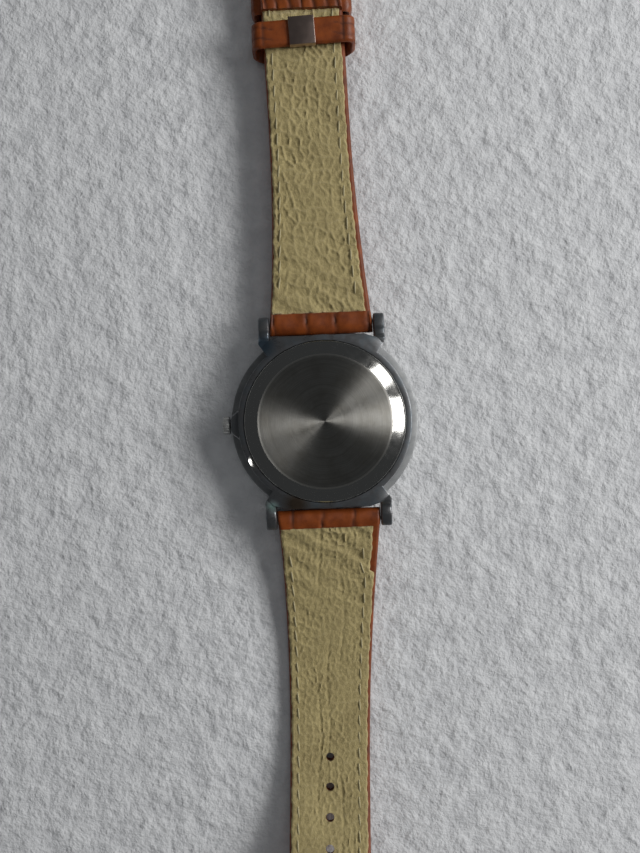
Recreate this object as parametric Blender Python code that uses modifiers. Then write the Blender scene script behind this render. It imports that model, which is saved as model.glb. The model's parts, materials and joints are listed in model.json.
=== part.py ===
"""A hand-wound wristwatch on a stitched leather strap, lying face down with its back up.

Frame: the origin is the centre of the crystal's flat face, which lies on the ground plane. +Z runs from
the dial to the case back, +Y towards twelve o'clock and the buckle, and the crown is at -X.
"""

import math

import bmesh
import bpy
from mathutils import Matrix, Vector

MM = 0.001
FULL_TURN = 2 * math.pi

# Case
CASE_RADIUS = 15.1 * MM
BEZEL_RADIUS = 16.6 * MM
CASE_BACK_RADIUS = 14.0 * MM
BACK_FLAT_RADIUS = 11.6 * MM
CASE_BORE = 13.2 * MM
PLATE_TOP = 7.3 * MM
CASE_FLOOR = 3.2 * MM
BACK_TOP = 8.8 * MM
LUG_WIDTH = 18.2 * MM
LUG_THICKNESS = 1.9 * MM
LUG_REACH = 18.6 * MM
CHORD_Y = 14.95 * MM
BAR_Y = 17.3 * MM
BAR_Z = 4.9 * MM
BAR_RADIUS = 0.75 * MM
BAR_TIP_RADIUS = 0.35 * MM
BAR_HOLE_RADIUS = 0.42 * MM
GAP = 0.03 * MM

# Crown and stem
STEM_Z = 4.7 * MM
CROWN_RADIUS = 1.6 * MM
CROWN_X = -16.65 * MM
CROWN_LENGTH = 1.2 * MM
CROWN_RIBS = 22

# Movement: plan places of its arbors, seen from the back, and its levels
MOVEMENT_RADIUS = 12.3 * MM
DIAL_LOW, DIAL_HIGH = 3.2 * MM, 3.6 * MM
MAIN_LOW, MAIN_HIGH = 4.15 * MM, 5.25 * MM
BRIDGE_LOW, BRIDGE_HIGH = 6.75 * MM, 7.25 * MM
WHEEL_HIGH = 7.5 * MM
BARREL_TEETH, BARREL_PITCH = 48, 4.5 * MM
CENTRE_PINION_TEETH, CENTRE_PINION_PITCH = 8, 0.75 * MM
CENTRE_TEETH, CENTRE_PITCH = 48, 4.0 * MM
THIRD_PINION_TEETH, THIRD_PINION_PITCH = 6, 0.5 * MM
THIRD_TEETH, THIRD_PITCH = 45, 3.375 * MM
FOURTH_PINION_TEETH, FOURTH_PINION_PITCH = 6, 0.45 * MM
FOURTH_TEETH, FOURTH_PITCH = 60, 2.9 * MM
ESCAPE_PINION_TEETH, ESCAPE_PINION_PITCH = 6, 0.29 * MM
ESCAPE_TEETH, ESCAPE_TIP = 15, 1.75 * MM
CANNON_TEETH, CANNON_PITCH = 10, 0.606 * MM
MINUTE_TEETH, MINUTE_PITCH = 30, 1.818 * MM
MINUTE_PINION_TEETH, MINUTE_PINION_PITCH = 8, 0.4848 * MM
HOUR_TEETH, HOUR_PITCH = 32, 1.9392 * MM
RATCHET_TEETH, RATCHET_PITCH = 30, 2.6 * MM
CROWN_WHEEL_TEETH, CROWN_WHEEL_PITCH = 27, 2.34 * MM
BALANCE_RADIUS = 3.5 * MM
SMALL_SECONDS_Y = -5.6 * MM
MINUTE_WHEEL_BEARING = math.radians(22)

# Strap: s runs along it from its spring bar, n across its thickness, positive on the wrist side
LAYER = 0.6 * MM
LINING = 0.7 * MM
LUG_HALF_THICKNESS = 1.45 * MM
TIP_HALF_THICKNESS = 1.15 * MM
STRAP_LUG_WIDTH = 18.0 * MM
STRAP_TIP_WIDTH = 14.1 * MM
SHORT_TAPER = 36.0 * MM
LONG_TAPER = 44.0 * MM
LINING_START = 1.9 * MM
LINING_INSET = 0.85 * MM
FLEX_GAP = 0.5 * MM
SHORT_LENGTH = 64.2 * MM
SHORT_FLEX = 29.0 * MM
SHORT_BENDS = [(0, 0), (SHORT_LENGTH, 0)]
LONG_LENGTH = 100.0 * MM
LONG_FLEX = 36.0 * MM
# Where the long piece lies, as its slope in degrees at stops along it.
LONG_BENDS = [(0, -14.2), (30 * MM, 0), (45 * MM, 8), (62 * MM, 24), (LONG_LENGTH, 44)]
SHORT_DRIFT = -0.023
LONG_DRIFT = -0.045
DRIFT_SETTLE = 10.0 * MM
HOLE_COUNT = 7
HOLE_START = 42.8 * MM
HOLE_PITCH = 5.1 * MM
HOLE_RADIUS = 0.75 * MM

# Buckle and keepers
BUCKLE_BAR_N = 0.325 * MM
BUCKLE_FOLD = 1.175 * MM
FLAP_START = 54.9 * MM
KEEPER_WIDTH = 4.9 * MM
KEEPER_HALF = 9.1 * MM
KEEPER_BAND = 1.1 * MM
FLOATING_KEEPER_S = 50.3 * MM
FIXED_KEEPER_S = 56.8 * MM
BUCKLE_PITCH = math.radians(-21.0)
BUCKLE_LENGTH = 9.2 * MM
BUCKLE_HALF_WIDTH = 9.3 * MM
TONGUE_DROP = math.radians(-8.6)

PARTS = bpy.data.collections.new("wristwatch")
HELPERS = bpy.data.collections.new("cutters")


def clear_scene():
    for old in list(bpy.data.objects):
        bpy.data.objects.remove(old)
    bpy.context.scene.collection.children.link(PARTS)
    bpy.context.scene.collection.children.link(HELPERS)


def finish(name, colour, roughness, metallic):
    """A plain material."""
    made = bpy.data.materials.new(name)
    made.use_nodes = True
    shader = made.node_tree.nodes["Principled BSDF"]
    shader.inputs["Base Color"].default_value = (*colour, 1)
    shader.inputs["Roughness"].default_value = roughness
    shader.inputs["Metallic"].default_value = metallic
    return made


STEEL = finish("steel", (0.55, 0.55, 0.54), 0.3, 1)
BRUSHED = finish("brushed_steel", (0.45, 0.45, 0.44), 0.45, 1)
BRASS = finish("brass", (0.78, 0.6, 0.3), 0.35, 1)
NICKEL = finish("nickel", (0.66, 0.64, 0.6), 0.35, 1)
BLUED = finish("blued_steel", (0.05, 0.08, 0.25), 0.3, 1)
GASKET = finish("gasket", (0.05, 0.05, 0.05), 0.6, 0)
CLEAR = finish("crystal", (0.9, 0.95, 0.95), 0.05, 0)
DIAL_PAINT = finish("dial", (0.75, 0.74, 0.68), 0.4, 0.2)
LEATHER = finish("outer_leather", (0.36, 0.13, 0.06), 0.45, 0)
LINING_LEATHER = finish("lining_leather", (0.35, 0.31, 0.17), 0.8, 0)
FELT = finish("padding", (0.6, 0.55, 0.45), 0.9, 0)


# ---------------------------------------------------------------- helpers


def polar(radius, angle):
    return (radius * math.cos(angle), radius * math.sin(angle))


def arc(radius, start, end, steps, centre=(0, 0)):
    """Points on an arc, both ends included; angles in degrees."""
    found = []
    for i in range(steps + 1):
        x, y = polar(radius, math.radians(start + (end - start) * i / steps))
        found.append((centre[0] + x, centre[1] + y))
    return found


def circle(radius, steps, centre=(0, 0)):
    return arc(radius, 0, 360, steps, centre)[:-1]


def smooth(t):
    t = min(max(t, 0.0), 1.0)
    return t * t * (3 - 2 * t)


def add(name, data, material):
    made = bpy.data.objects.new(name, data)
    PARTS.objects.link(made)
    data.materials.clear()
    data.materials.append(material)
    return made


def shade(mesh):
    mesh.shade_smooth()
    mesh.set_sharp_from_angle(angle=math.radians(35))


def weld(mesh):
    """Closes the loose caps that a curve leaves."""
    work = bmesh.new()
    work.from_mesh(mesh)
    bmesh.ops.remove_doubles(work, verts=work.verts, dist=1e-7)
    bmesh.ops.recalc_face_normals(work, faces=work.faces)
    work.to_mesh(mesh)
    work.free()


def meshed(shape, name, material):
    """A curve object turned into a closed mesh object in the same place."""
    PARTS.objects.link(shape)
    bpy.context.view_layer.update()
    graph = bpy.context.evaluated_depsgraph_get()
    mesh = bpy.data.meshes.new_from_object(shape.evaluated_get(graph))
    place = shape.matrix_world.copy()
    bpy.data.objects.remove(shape)
    weld(mesh)
    shade(mesh)
    made = add(name, mesh, material)
    made.matrix_world = place
    return made


def plate(name, outlines, low, high, material, centre=(0, 0), turn=None):
    """A flat piece: outlines in plan, the first outside and the rest holes, from low to high.
    turn is a rotation applied about the origin, for a piece whose flat isn't level."""
    curve = bpy.data.curves.new(name, "CURVE")
    curve.dimensions = "2D"
    curve.fill_mode = "BOTH"
    curve.extrude = (high - low) / 2
    for outline in outlines:
        spline = curve.splines.new("POLY")
        spline.points.add(len(outline) - 1)
        for point, (x, y) in zip(spline.points, outline):
            point.co = (x, y, 0, 1)
        spline.use_cyclic_u = True
    shape = bpy.data.objects.new(name + "_outline", curve)
    shift = Matrix.Translation((centre[0], centre[1], (low + high) / 2))
    shape.matrix_world = (turn @ shift) if turn else shift
    return meshed(shape, name, material)


def turned(name, profile, material, centre=(0, 0), steps=48, turn=None):
    """A round piece: a profile of (radius, height), turned about its own Z."""
    area = sum(
        a[0] * b[1] - b[0] * a[1] for a, b in zip(profile, profile[1:] + profile[:1])
    )
    run = profile if area < 0 else profile[::-1]
    if any(r == 0 for r, _ in run):
        while not (run[0][0] == 0 and run[-1][0] == 0):
            run = run[1:] + run[:1]
    edges = [(i, i + 1) for i in range(len(run) - 1)]
    if run[0][0] > 0:
        edges.append((len(run) - 1, 0))
    mesh = bpy.data.meshes.new(name)
    mesh.from_pydata([(r, 0, z) for r, z in run], edges, [])
    made = add(name, mesh, material)
    screw = made.modifiers.new("Turn", "SCREW")
    screw.steps = screw.render_steps = steps
    screw.use_merge_vertices = True
    screw.merge_threshold = 1e-6
    screw.use_smooth_shade = True
    place = Matrix.Translation((centre[0], centre[1], 0))
    made.matrix_world = turn if turn else place
    return made


def box(name, low, high, material=STEEL):
    work = bmesh.new()
    bmesh.ops.create_cube(work, size=1)
    for vertex in work.verts:
        for k in range(3):
            vertex.co[k] = low[k] if vertex.co[k] < 0 else high[k]
    mesh = bpy.data.meshes.new(name)
    work.to_mesh(mesh)
    work.free()
    return add(name, mesh, material)


def rod(name, radius, low, high, centre=(0, 0), material=STEEL, sides=16, turn=None):
    return turned(
        name,
        [(0, high), (radius, high), (radius, low), (0, low)],
        material,
        centre,
        sides,
        turn,
    )


def along_x(x=0.0, y=0.0, z=0.0):
    """A place whose own Z points along +X."""
    return Matrix.Translation((x, y, z)) @ Matrix.Rotation(math.pi / 2, 4, "Y")


def as_helper(*shapes):
    for shape in shapes:
        PARTS.objects.unlink(shape)
        HELPERS.objects.link(shape)
        shape.hide_render = True
        shape.display_type = "WIRE"


def combine(base, operation, shapes):
    for shape in shapes:
        step = base.modifiers.new(operation.title(), "BOOLEAN")
        step.operation = operation
        step.solver = "EXACT"
        step.object = shape
        as_helper(shape)
    return base


def unite(base, *shapes):
    return combine(base, "UNION", shapes)


def cut(base, *shapes):
    return combine(base, "DIFFERENCE", shapes)


def round_edges(shape, width, segments=2, angle=40):
    bevel = shape.modifiers.new("Round", "BEVEL")
    bevel.width = width
    bevel.segments = segments
    bevel.limit_method = "ANGLE"
    bevel.angle_limit = math.radians(angle)
    return shape


# ---------------------------------------------------------------- case


def lug_profile():
    """Side outline of a lug, (distance from the case centre, height)."""
    tip = LUG_REACH
    return [
        (tip - 7.0 * MM, CASE_FLOOR + 0.3 * MM),
        (tip - 4.7 * MM, CASE_FLOOR + 0.1 * MM),
        (tip - 2.9 * MM, 2.9 * MM),
        (tip - 1.2 * MM, 3.5 * MM),
        (tip - 0.25 * MM, 4.5 * MM),
        (tip, 5.4 * MM),
        (tip - 0.45 * MM, 6.15 * MM),
        (tip - 2.3 * MM, 6.75 * MM),
        (tip - 3.6 * MM, 6.2 * MM),
        (tip - 4.3 * MM, PLATE_TOP - 0.15 * MM),
        (tip - 7.0 * MM, PLATE_TOP - 0.1 * MM),
    ]


def lug(index, side_x, side_y):
    inner = LUG_WIDTH / 2
    middle = side_x * (inner + LUG_THICKNESS / 2)
    # The outline's own X becomes the lug's reach along Y, and its Y becomes height.
    turn = Matrix(((0, 0, 1, 0), (side_y, 0, 0, 0), (0, 1, 0, 0), (0, 0, 0, 1)))
    made = plate(
        f"lug_{index}",
        [lug_profile()],
        middle - LUG_THICKNESS / 2,
        middle + LUG_THICKNESS / 2,
        STEEL,
        turn=turn,
    )
    if side_y < 0:
        weld(made.data)
    return round_edges(made, 0.3 * MM, 1)


def shoulder_outline(side):
    """Plan of the flat shoulder that carries two lugs, on the +Y or -Y side."""
    flank = LUG_WIDTH / 2 + LUG_THICKNESS - 0.45 * MM
    half = [
        (flank - 1.7 * MM, 10.6 * MM),
        (flank, 13.1 * MM),
        (LUG_WIDTH / 2 + 0.4 * MM, 14.2 * MM),
        (7.3 * MM, CHORD_Y),
    ]
    right = [(x, side * y) for x, y in half]
    left = [(-x, y) for x, y in reversed(right)]
    return right + left


def mid_case():
    body = turned(
        "mid_case",
        [
            (0, PLATE_TOP),
            (CASE_RADIUS - 0.25 * MM, PLATE_TOP),
            (CASE_RADIUS, PLATE_TOP - 0.25 * MM),
            (CASE_RADIUS, CASE_FLOOR),
            (14.3 * MM, CASE_FLOOR),
            (14.3 * MM, 2.45 * MM),
            (0, 2.45 * MM),
        ],
        STEEL,
        steps=56,
    )
    shoulders = [
        plate(f"shoulder_{side}", [shoulder_outline(side)], CASE_FLOOR + GAP, PLATE_TOP, STEEL)
        for side in (1, -1)
    ]
    lugs = [
        lug(i, x, y) for i, (x, y) in enumerate(((1, 1), (-1, 1), (1, -1), (-1, -1)))
    ]
    boss = box(
        "crown_boss",
        (-16.35 * MM, -1.8 * MM, 3.25 * MM),
        (-14.0 * MM, 1.8 * MM, 6.7 * MM),
    )
    round_edges(boss, 0.3 * MM, 1)
    unite(body, *shoulders, *lugs, boss)
    bore = turned(
        "case_bore",
        [
            (0, 8 * MM),
            (CASE_BACK_RADIUS + 0.1 * MM, 8 * MM),
            (CASE_BACK_RADIUS + 0.1 * MM, 6.5 * MM),
            (CASE_BORE, 6.5 * MM),
            (CASE_BORE, 3.15 * MM),
            (12.4 * MM, 3.15 * MM),
            (12.4 * MM, 2 * MM),
            (0, 2 * MM),
        ],
        STEEL,
        steps=56,
    )
    tube_hole = rod("tube_hole", 0.85 * MM, 0, 5 * MM, turn=along_x(-17 * MM, 0, STEM_Z))
    pry_notch = box(
        "pry_notch", (13.4 * MM, -1.5 * MM, 6.75 * MM), (15.2 * MM, 1.5 * MM, 8 * MM)
    )
    pry_notch.rotation_euler.z = math.radians(207)
    bar_holes = [
        rod(
            f"bar_hole_{side}",
            BAR_HOLE_RADIUS,
            0,
            21.2 * MM,
            sides=10,
            turn=along_x(-10.6 * MM, side * BAR_Y, BAR_Z),
        )
        for side in (1, -1)
    ]
    cut(body, bore, tube_hole, pry_notch, *bar_holes)


def case():
    mid_case()
    turned(
        "bezel",
        [
            (13.65 * MM, 0.75 * MM),
            (14.2 * MM, 0.6 * MM),
            (15.4 * MM, 1.05 * MM),
            (16.25 * MM, 1.7 * MM),
            (BEZEL_RADIUS, 2.3 * MM),
            (BEZEL_RADIUS, 2.85 * MM),
            (BEZEL_RADIUS - 0.25 * MM, 3.12 * MM),
            (14.36 * MM, 3.12 * MM),
            (14.36 * MM, 2.42 * MM),
            (13.65 * MM, 2.42 * MM),
        ],
        STEEL,
        steps=56,
    )
    turned(
        "crystal",
        [
            (0, 0),
            (12.2 * MM, 0),
            (13.1 * MM, 0.25 * MM),
            (13.55 * MM, 0.8 * MM),
            (13.55 * MM, 2.38 * MM),
            (12.6 * MM, 2.38 * MM),
            (12.3 * MM, 1.3 * MM),
            (0, 1.3 * MM),
        ],
        CLEAR,
        steps=44,
    )
    turned(
        "case_back",
        [
            (0, BACK_TOP),
            (BACK_FLAT_RADIUS, BACK_TOP),
            (BACK_FLAT_RADIUS + 0.3 * MM, BACK_TOP - 0.15 * MM),
            (13.5 * MM, 7.75 * MM),
            (CASE_BACK_RADIUS, 7.35 * MM),
            (CASE_BACK_RADIUS, 6.9 * MM),
            (13.1 * MM, 6.9 * MM),
            (13.0 * MM, 6.3 * MM),
            (12.6 * MM, 6.3 * MM),
            (12.6 * MM, 7.3 * MM),
            (11.2 * MM, 8.0 * MM),
            (0, 8.0 * MM),
        ],
        BRUSHED,
        steps=56,
    )
    turned(
        "back_gasket",
        [
            (CASE_BORE + 0.08 * MM, 6.55 * MM),
            (CASE_BORE + 0.08 * MM, 6.85 * MM),
            (CASE_BACK_RADIUS - 0.05 * MM, 6.85 * MM),
            (CASE_BACK_RADIUS - 0.05 * MM, 6.55 * MM),
        ],
        GASKET,
        steps=28,
    )
    turned(
        "crown_tube",
        [
            (0.8 * MM, 0),
            (0.8 * MM, 3.2 * MM),
            (0.55 * MM, 3.2 * MM),
            (0.55 * MM, 0),
        ],
        STEEL,
        steps=16,
        turn=along_x(-16.5 * MM, 0, STEM_Z),
    )


def spring_bar(name, half, place):
    """A sprung strap bar: a tube with a shouldered, smaller tip at each end."""
    tip = half + 0.85 * MM
    half_profile = [
        (0, tip),
        (BAR_TIP_RADIUS, tip),
        (BAR_TIP_RADIUS, half),
        (BAR_RADIUS, half),
        (BAR_RADIUS, half - 0.4 * MM),
        (BAR_TIP_RADIUS + 0.2 * MM, half - 0.6 * MM),
        (BAR_RADIUS, half - 0.8 * MM),
    ]
    profile = half_profile + [(r, -z) for r, z in reversed(half_profile)]
    turned(name, profile, STEEL, steps=12, turn=place)


def crown_and_stem():
    ribs = []
    for i in range(CROWN_RIBS):
        step = FULL_TURN / CROWN_RIBS
        for share, radius in ((0.0, 1.0), (0.45, 1.0), (0.55, 0.9), (0.9, 0.9)):
            ribs.append(polar(CROWN_RADIUS * radius, (i + share) * step))
    crown = plate("crown", [ribs], -CROWN_LENGTH, 0, STEEL, turn=along_x(CROWN_X, 0, STEM_Z))
    socket = rod("stem_socket", 0.4 * MM, -0.8 * MM, 0.5 * MM, turn=along_x(CROWN_X, 0, STEM_Z))
    cut(crown, socket)
    turned(
        "winding_stem",
        [
            (0, 10.1 * MM),
            (0.3 * MM, 10.1 * MM),
            (0.3 * MM, 9.3 * MM),
            (0.42 * MM, 9.3 * MM),
            (0.42 * MM, 7.1 * MM),
            (0.25 * MM, 7.0 * MM),
            (0.25 * MM, 6.6 * MM),
            (0.42 * MM, 6.5 * MM),
            (0.42 * MM, 0.1 * MM),
            (0.35 * MM, 0),
            (0.35 * MM, -0.7 * MM),
            (0, -0.7 * MM),
        ],
        STEEL,
        steps=14,
        turn=along_x(CROWN_X, 0, STEM_Z),
    )
    plate(
        "sliding_pinion",
        [gear_outline(12, 0.92 * MM, 0.74 * MM), circle(0.44 * MM, 12)],
        7.4 * MM,
        9.2 * MM,
        STEEL,
        turn=along_x(CROWN_X, 0, STEM_Z),
    )
    lever = plate(
        "setting_lever",
        [
            [
                (-0.14 * MM, -2.3 * MM),
                (0.14 * MM, -2.3 * MM),
                (0.14 * MM, -0.3 * MM),
                (-0.14 * MM, -0.3 * MM),
            ]
        ],
        4.3 * MM,
        4.75 * MM,
        STEEL,
        centre=(CROWN_X + 6.8 * MM, 0),
    )
    foot = plate(
        "setting_lever_foot",
        [circle(0.5 * MM, 14, (CROWN_X + 6.8 * MM, -2.4 * MM))],
        4.3 * MM,
        4.75 * MM,
        STEEL,
    )
    unite(lever, foot)


# ---------------------------------------------------------------- movement


def gear_outline(teeth, tip, root, phase=0.0):
    """A tooth's tip, then the gap's root, all the way round."""
    step = FULL_TURN / teeth
    found = []
    for i in range(teeth):
        found.append(polar(tip, phase + i * step))
        found.append(polar(root, phase + (i + 0.5) * step))
    return found


def pitch_gear(teeth, pitch, phase=0.0):
    module = 2 * pitch / teeth
    return gear_outline(teeth, pitch + 0.75 * module, pitch - 0.95 * module, phase)


def spoke_windows(inner, outer, count):
    """The openings between a wheel's spokes."""
    windows = []
    for i in range(count):
        start, end = 360 * (i + 0.14) / count, 360 * (i + 0.86) / count
        windows.append(arc(outer, start, end, 4) + arc(inner, end, start, 1))
    return windows


def place_train():
    """Plan places of the arbors, from the gears' pitch radii."""
    centre = Vector((0, 0))
    reach = BARREL_PITCH + CENTRE_PINION_PITCH
    barrel = Vector(polar(reach, math.radians(113)))
    fourth = Vector((0, SMALL_SECONDS_Y))
    a = CENTRE_PITCH + THIRD_PINION_PITCH
    b = THIRD_PITCH + FOURTH_PINION_PITCH
    y = (a * a - b * b + SMALL_SECONDS_Y**2) / (2 * SMALL_SECONDS_Y)
    third = Vector((-math.sqrt(a * a - y * y), y))
    reach = FOURTH_PITCH + ESCAPE_PINION_PITCH
    escape = fourth + Vector(polar(reach, math.radians(-10)))
    balance = Vector((7.0 * MM, -1.0 * MM))
    pallet = escape + (balance - escape).normalized() * 2.2 * MM
    crown_wheel = barrel + Vector(
        polar(RATCHET_PITCH + CROWN_WHEEL_PITCH, math.radians(205))
    )
    return {
        "centre": centre,
        "barrel": barrel,
        "third": third,
        "fourth": fourth,
        "escape": escape,
        "balance": balance,
        "pallet": pallet,
        "crown_wheel": crown_wheel,
    }


def bearing_of(a, b):
    return math.atan2(b.y - a.y, b.x - a.x)


def driven_phase(bearing, teeth):
    """The phase that puts a gap opposite the driving gear's tooth."""
    return bearing + math.pi + math.pi / teeth


def arbor_profile(levels):
    """A stepped arbor from (radius, low, high) steps, bottom to top."""
    outer = []
    for radius, low, high in levels:
        outer += [(radius, low), (radius, high)]
    return [(0, levels[0][1]), *outer, (0, levels[-1][2])]


def geared_arbor(name, at, wheel, wheel_span, pinion, pinion_span, levels, material):
    """A wheel, its pinion and its arbor, riveted into one piece. wheel and pinion are outlines,
    and each span is (low, high)."""
    made = plate(name, wheel, *wheel_span, material, centre=at)
    arbor = turned(name + "_arbor", arbor_profile(levels), material, at, 10)
    teeth = plate(name + "_pinion", [pinion], *pinion_span, material, centre=at)
    unite(made, arbor, teeth)


def going_train(at):
    to_barrel = bearing_of(at["barrel"], at["centre"])
    to_third = bearing_of(at["centre"], at["third"])
    to_fourth = bearing_of(at["third"], at["fourth"])
    to_escape = bearing_of(at["fourth"], at["escape"])

    drum = plate(
        "barrel_drum",
        [pitch_gear(BARREL_TEETH, BARREL_PITCH, to_barrel)],
        5.35 * MM,
        5.6 * MM,
        BRASS,
        centre=at["barrel"],
    )
    wall = turned(
        "barrel_wall",
        [
            (4.15 * MM, 5.45 * MM),
            (4.15 * MM, 6.2 * MM),
            (3.85 * MM, 6.2 * MM),
            (3.85 * MM, 5.5 * MM),
        ],
        BRASS,
        at["barrel"],
        32,
    )
    unite(drum, wall)
    cut(drum, rod("barrel_eye", 0.55 * MM, 5 * MM, 6 * MM, at["barrel"]))
    plate(
        "barrel_cover",
        [circle(4.1 * MM, 32), circle(0.55 * MM, 12)],
        6.23 * MM,
        6.35 * MM,
        BRASS,
        centre=at["barrel"],
    )
    plate(
        "ratchet_wheel",
        [
            gear_outline(
                RATCHET_TEETH,
                RATCHET_PITCH + 0.1 * MM,
                RATCHET_PITCH - 0.15 * MM,
                bearing_of(at["barrel"], at["crown_wheel"]),
            )
        ],
        BRIDGE_HIGH + 0.05 * MM,
        WHEEL_HIGH,
        STEEL,
        centre=at["barrel"],
    )
    unite(
        bpy.data.objects["ratchet_wheel"],
        turned(
            "barrel_arbor",
            arbor_profile(
                [
                    (0.35 * MM, 4.6 * MM, 5.3 * MM),
                    (0.5 * MM, 5.3 * MM, 5.65 * MM),
                    (0.95 * MM, 5.65 * MM, 6.15 * MM),
                    (0.5 * MM, 6.15 * MM, WHEEL_HIGH - 0.1 * MM),
                    (0.85 * MM, WHEEL_HIGH - 0.1 * MM, WHEEL_HIGH + 0.12 * MM),
                ]
            ),
            STEEL,
            at["barrel"],
            16,
        ),
    )
    geared_arbor(
        "centre_wheel",
        at["centre"],
        [pitch_gear(CENTRE_TEETH, CENTRE_PITCH, to_third), *spoke_windows(1.2 * MM, 3.3 * MM, 4)],
        (6.45 * MM, 6.6 * MM),
        pitch_gear(
            CENTRE_PINION_TEETH, CENTRE_PINION_PITCH, driven_phase(to_barrel, CENTRE_PINION_TEETH)
        ),
        (5.35 * MM, 6.5 * MM),
        [
            (0.22 * MM, 2.6 * MM, 4.4 * MM),
            (0.4 * MM, 4.4 * MM, 6.7 * MM),
            (0.25 * MM, 6.7 * MM, 7.1 * MM),
        ],
        BRASS,
    )
    geared_arbor(
        "third_wheel",
        at["third"],
        [pitch_gear(THIRD_TEETH, THIRD_PITCH, to_fourth), *spoke_windows(0.9 * MM, 2.75 * MM, 4)],
        (5.35 * MM, 5.5 * MM),
        pitch_gear(THIRD_PINION_TEETH, THIRD_PINION_PITCH, driven_phase(to_third, THIRD_PINION_TEETH)),
        (5.45 * MM, 6.65 * MM),
        [
            (0.15 * MM, 4.8 * MM, 5.4 * MM),
            (0.25 * MM, 5.4 * MM, 6.7 * MM),
            (0.15 * MM, 6.7 * MM, 7.1 * MM),
        ],
        BRASS,
    )
    geared_arbor(
        "fourth_wheel",
        at["fourth"],
        [pitch_gear(FOURTH_TEETH, FOURTH_PITCH, to_escape), *spoke_windows(0.8 * MM, 2.35 * MM, 4)],
        (5.95 * MM, 6.1 * MM),
        pitch_gear(
            FOURTH_PINION_TEETH, FOURTH_PINION_PITCH, driven_phase(to_fourth, FOURTH_PINION_TEETH)
        ),
        (5.3 * MM, 6.0 * MM),
        [
            (0.12 * MM, 2.92 * MM, 5.0 * MM),
            (0.22 * MM, 5.0 * MM, 6.7 * MM),
            (0.12 * MM, 6.7 * MM, 7.1 * MM),
        ],
        BRASS,
    )
    geared_arbor(
        "escape_wheel",
        at["escape"],
        [escape_outline(), *spoke_windows(0.5 * MM, 1.05 * MM, 3)],
        (5.35 * MM, 5.5 * MM),
        pitch_gear(
            ESCAPE_PINION_TEETH, ESCAPE_PINION_PITCH, driven_phase(to_escape, ESCAPE_PINION_TEETH)
        ),
        (5.75 * MM, 6.3 * MM),
        [
            (0.1 * MM, 4.9 * MM, 5.3 * MM),
            (0.17 * MM, 5.3 * MM, 6.7 * MM),
            (0.1 * MM, 6.7 * MM, 7.1 * MM),
        ],
        STEEL,
    )
    plate(
        "crown_wheel",
        [
            gear_outline(
                CROWN_WHEEL_TEETH,
                CROWN_WHEEL_PITCH + 0.1 * MM,
                CROWN_WHEEL_PITCH - 0.15 * MM,
                driven_phase(bearing_of(at["barrel"], at["crown_wheel"]), CROWN_WHEEL_TEETH),
            ),
            circle(0.95 * MM, 20),
        ],
        BRIDGE_HIGH + 0.05 * MM,
        WHEEL_HIGH,
        STEEL,
        centre=at["crown_wheel"],
    )
    mainspring(at["barrel"])


def escape_outline():
    """Club teeth that lean forward."""
    step = FULL_TURN / ESCAPE_TEETH
    root = 1.3 * MM
    tooth = [(0.0, root), (0.42, root), (0.62, ESCAPE_TIP), (0.8, ESCAPE_TIP - 0.06 * MM)]
    found = []
    for i in range(ESCAPE_TEETH):
        for share, radius in tooth:
            found.append(polar(radius, (i + share) * step))
    return found


def spiral(name, at, height, start, end, turns, width, material):
    """A flat spiral strip of square wire."""
    curve = bpy.data.curves.new(name, "CURVE")
    curve.dimensions = "3D"
    curve.bevel_depth = width
    curve.bevel_resolution = 0
    curve.use_fill_caps = True
    count = int(turns * 15)
    spline = curve.splines.new("POLY")
    spline.points.add(count)
    for i, point in enumerate(spline.points):
        radius = start + (end - start) * i / count
        x, y = polar(radius, FULL_TURN * turns * i / count)
        point.co = (x, y, 0, 1)
    shape = bpy.data.objects.new(name + "_wire", curve)
    shape.matrix_world = Matrix.Translation((at.x, at.y, height))
    return meshed(shape, name, material)


def mainspring(at):
    spiral("mainspring", at, 5.88 * MM, 1.25 * MM, 3.6 * MM, 4, 0.16 * MM, BLUED)


def bridge(name, outline, feet, screws, holes):
    """A bridge with feet that stand on the main plate. Screws and arbors pass through it."""
    made = plate(name, [outline], BRIDGE_LOW, BRIDGE_HIGH, NICKEL)
    stands = [
        rod(f"{name}_foot_{i}", 0.8 * MM, MAIN_HIGH + GAP, 7.0 * MM, foot, sides=14)
        for i, foot in enumerate(feet)
    ]
    unite(made, *stands)
    drills = [
        rod(f"{name}_drill_{i}", radius, 5 * MM, 8 * MM, at, sides=10)
        for i, (at, radius) in enumerate([(s, 0.42 * MM) for s in screws] + holes)
    ]
    return cut(made, *drills)


def screw(name, at):
    """A slotted bridge screw."""
    made = turned(
        name,
        arbor_profile(
            [
                (0.36 * MM, 4.5 * MM, BRIDGE_HIGH + GAP),
                (0.78 * MM, BRIDGE_HIGH + GAP, BRIDGE_HIGH + 0.28 * MM),
            ]
        ),
        BLUED,
        at,
        14,
    )
    x, y = at
    slot = box(
        name + "_slot",
        (x - MM, y - 0.11 * MM, BRIDGE_HIGH + 0.14 * MM),
        (x + MM, y + 0.11 * MM, BRIDGE_HIGH + 0.5 * MM),
    )
    return cut(made, slot)


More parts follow.
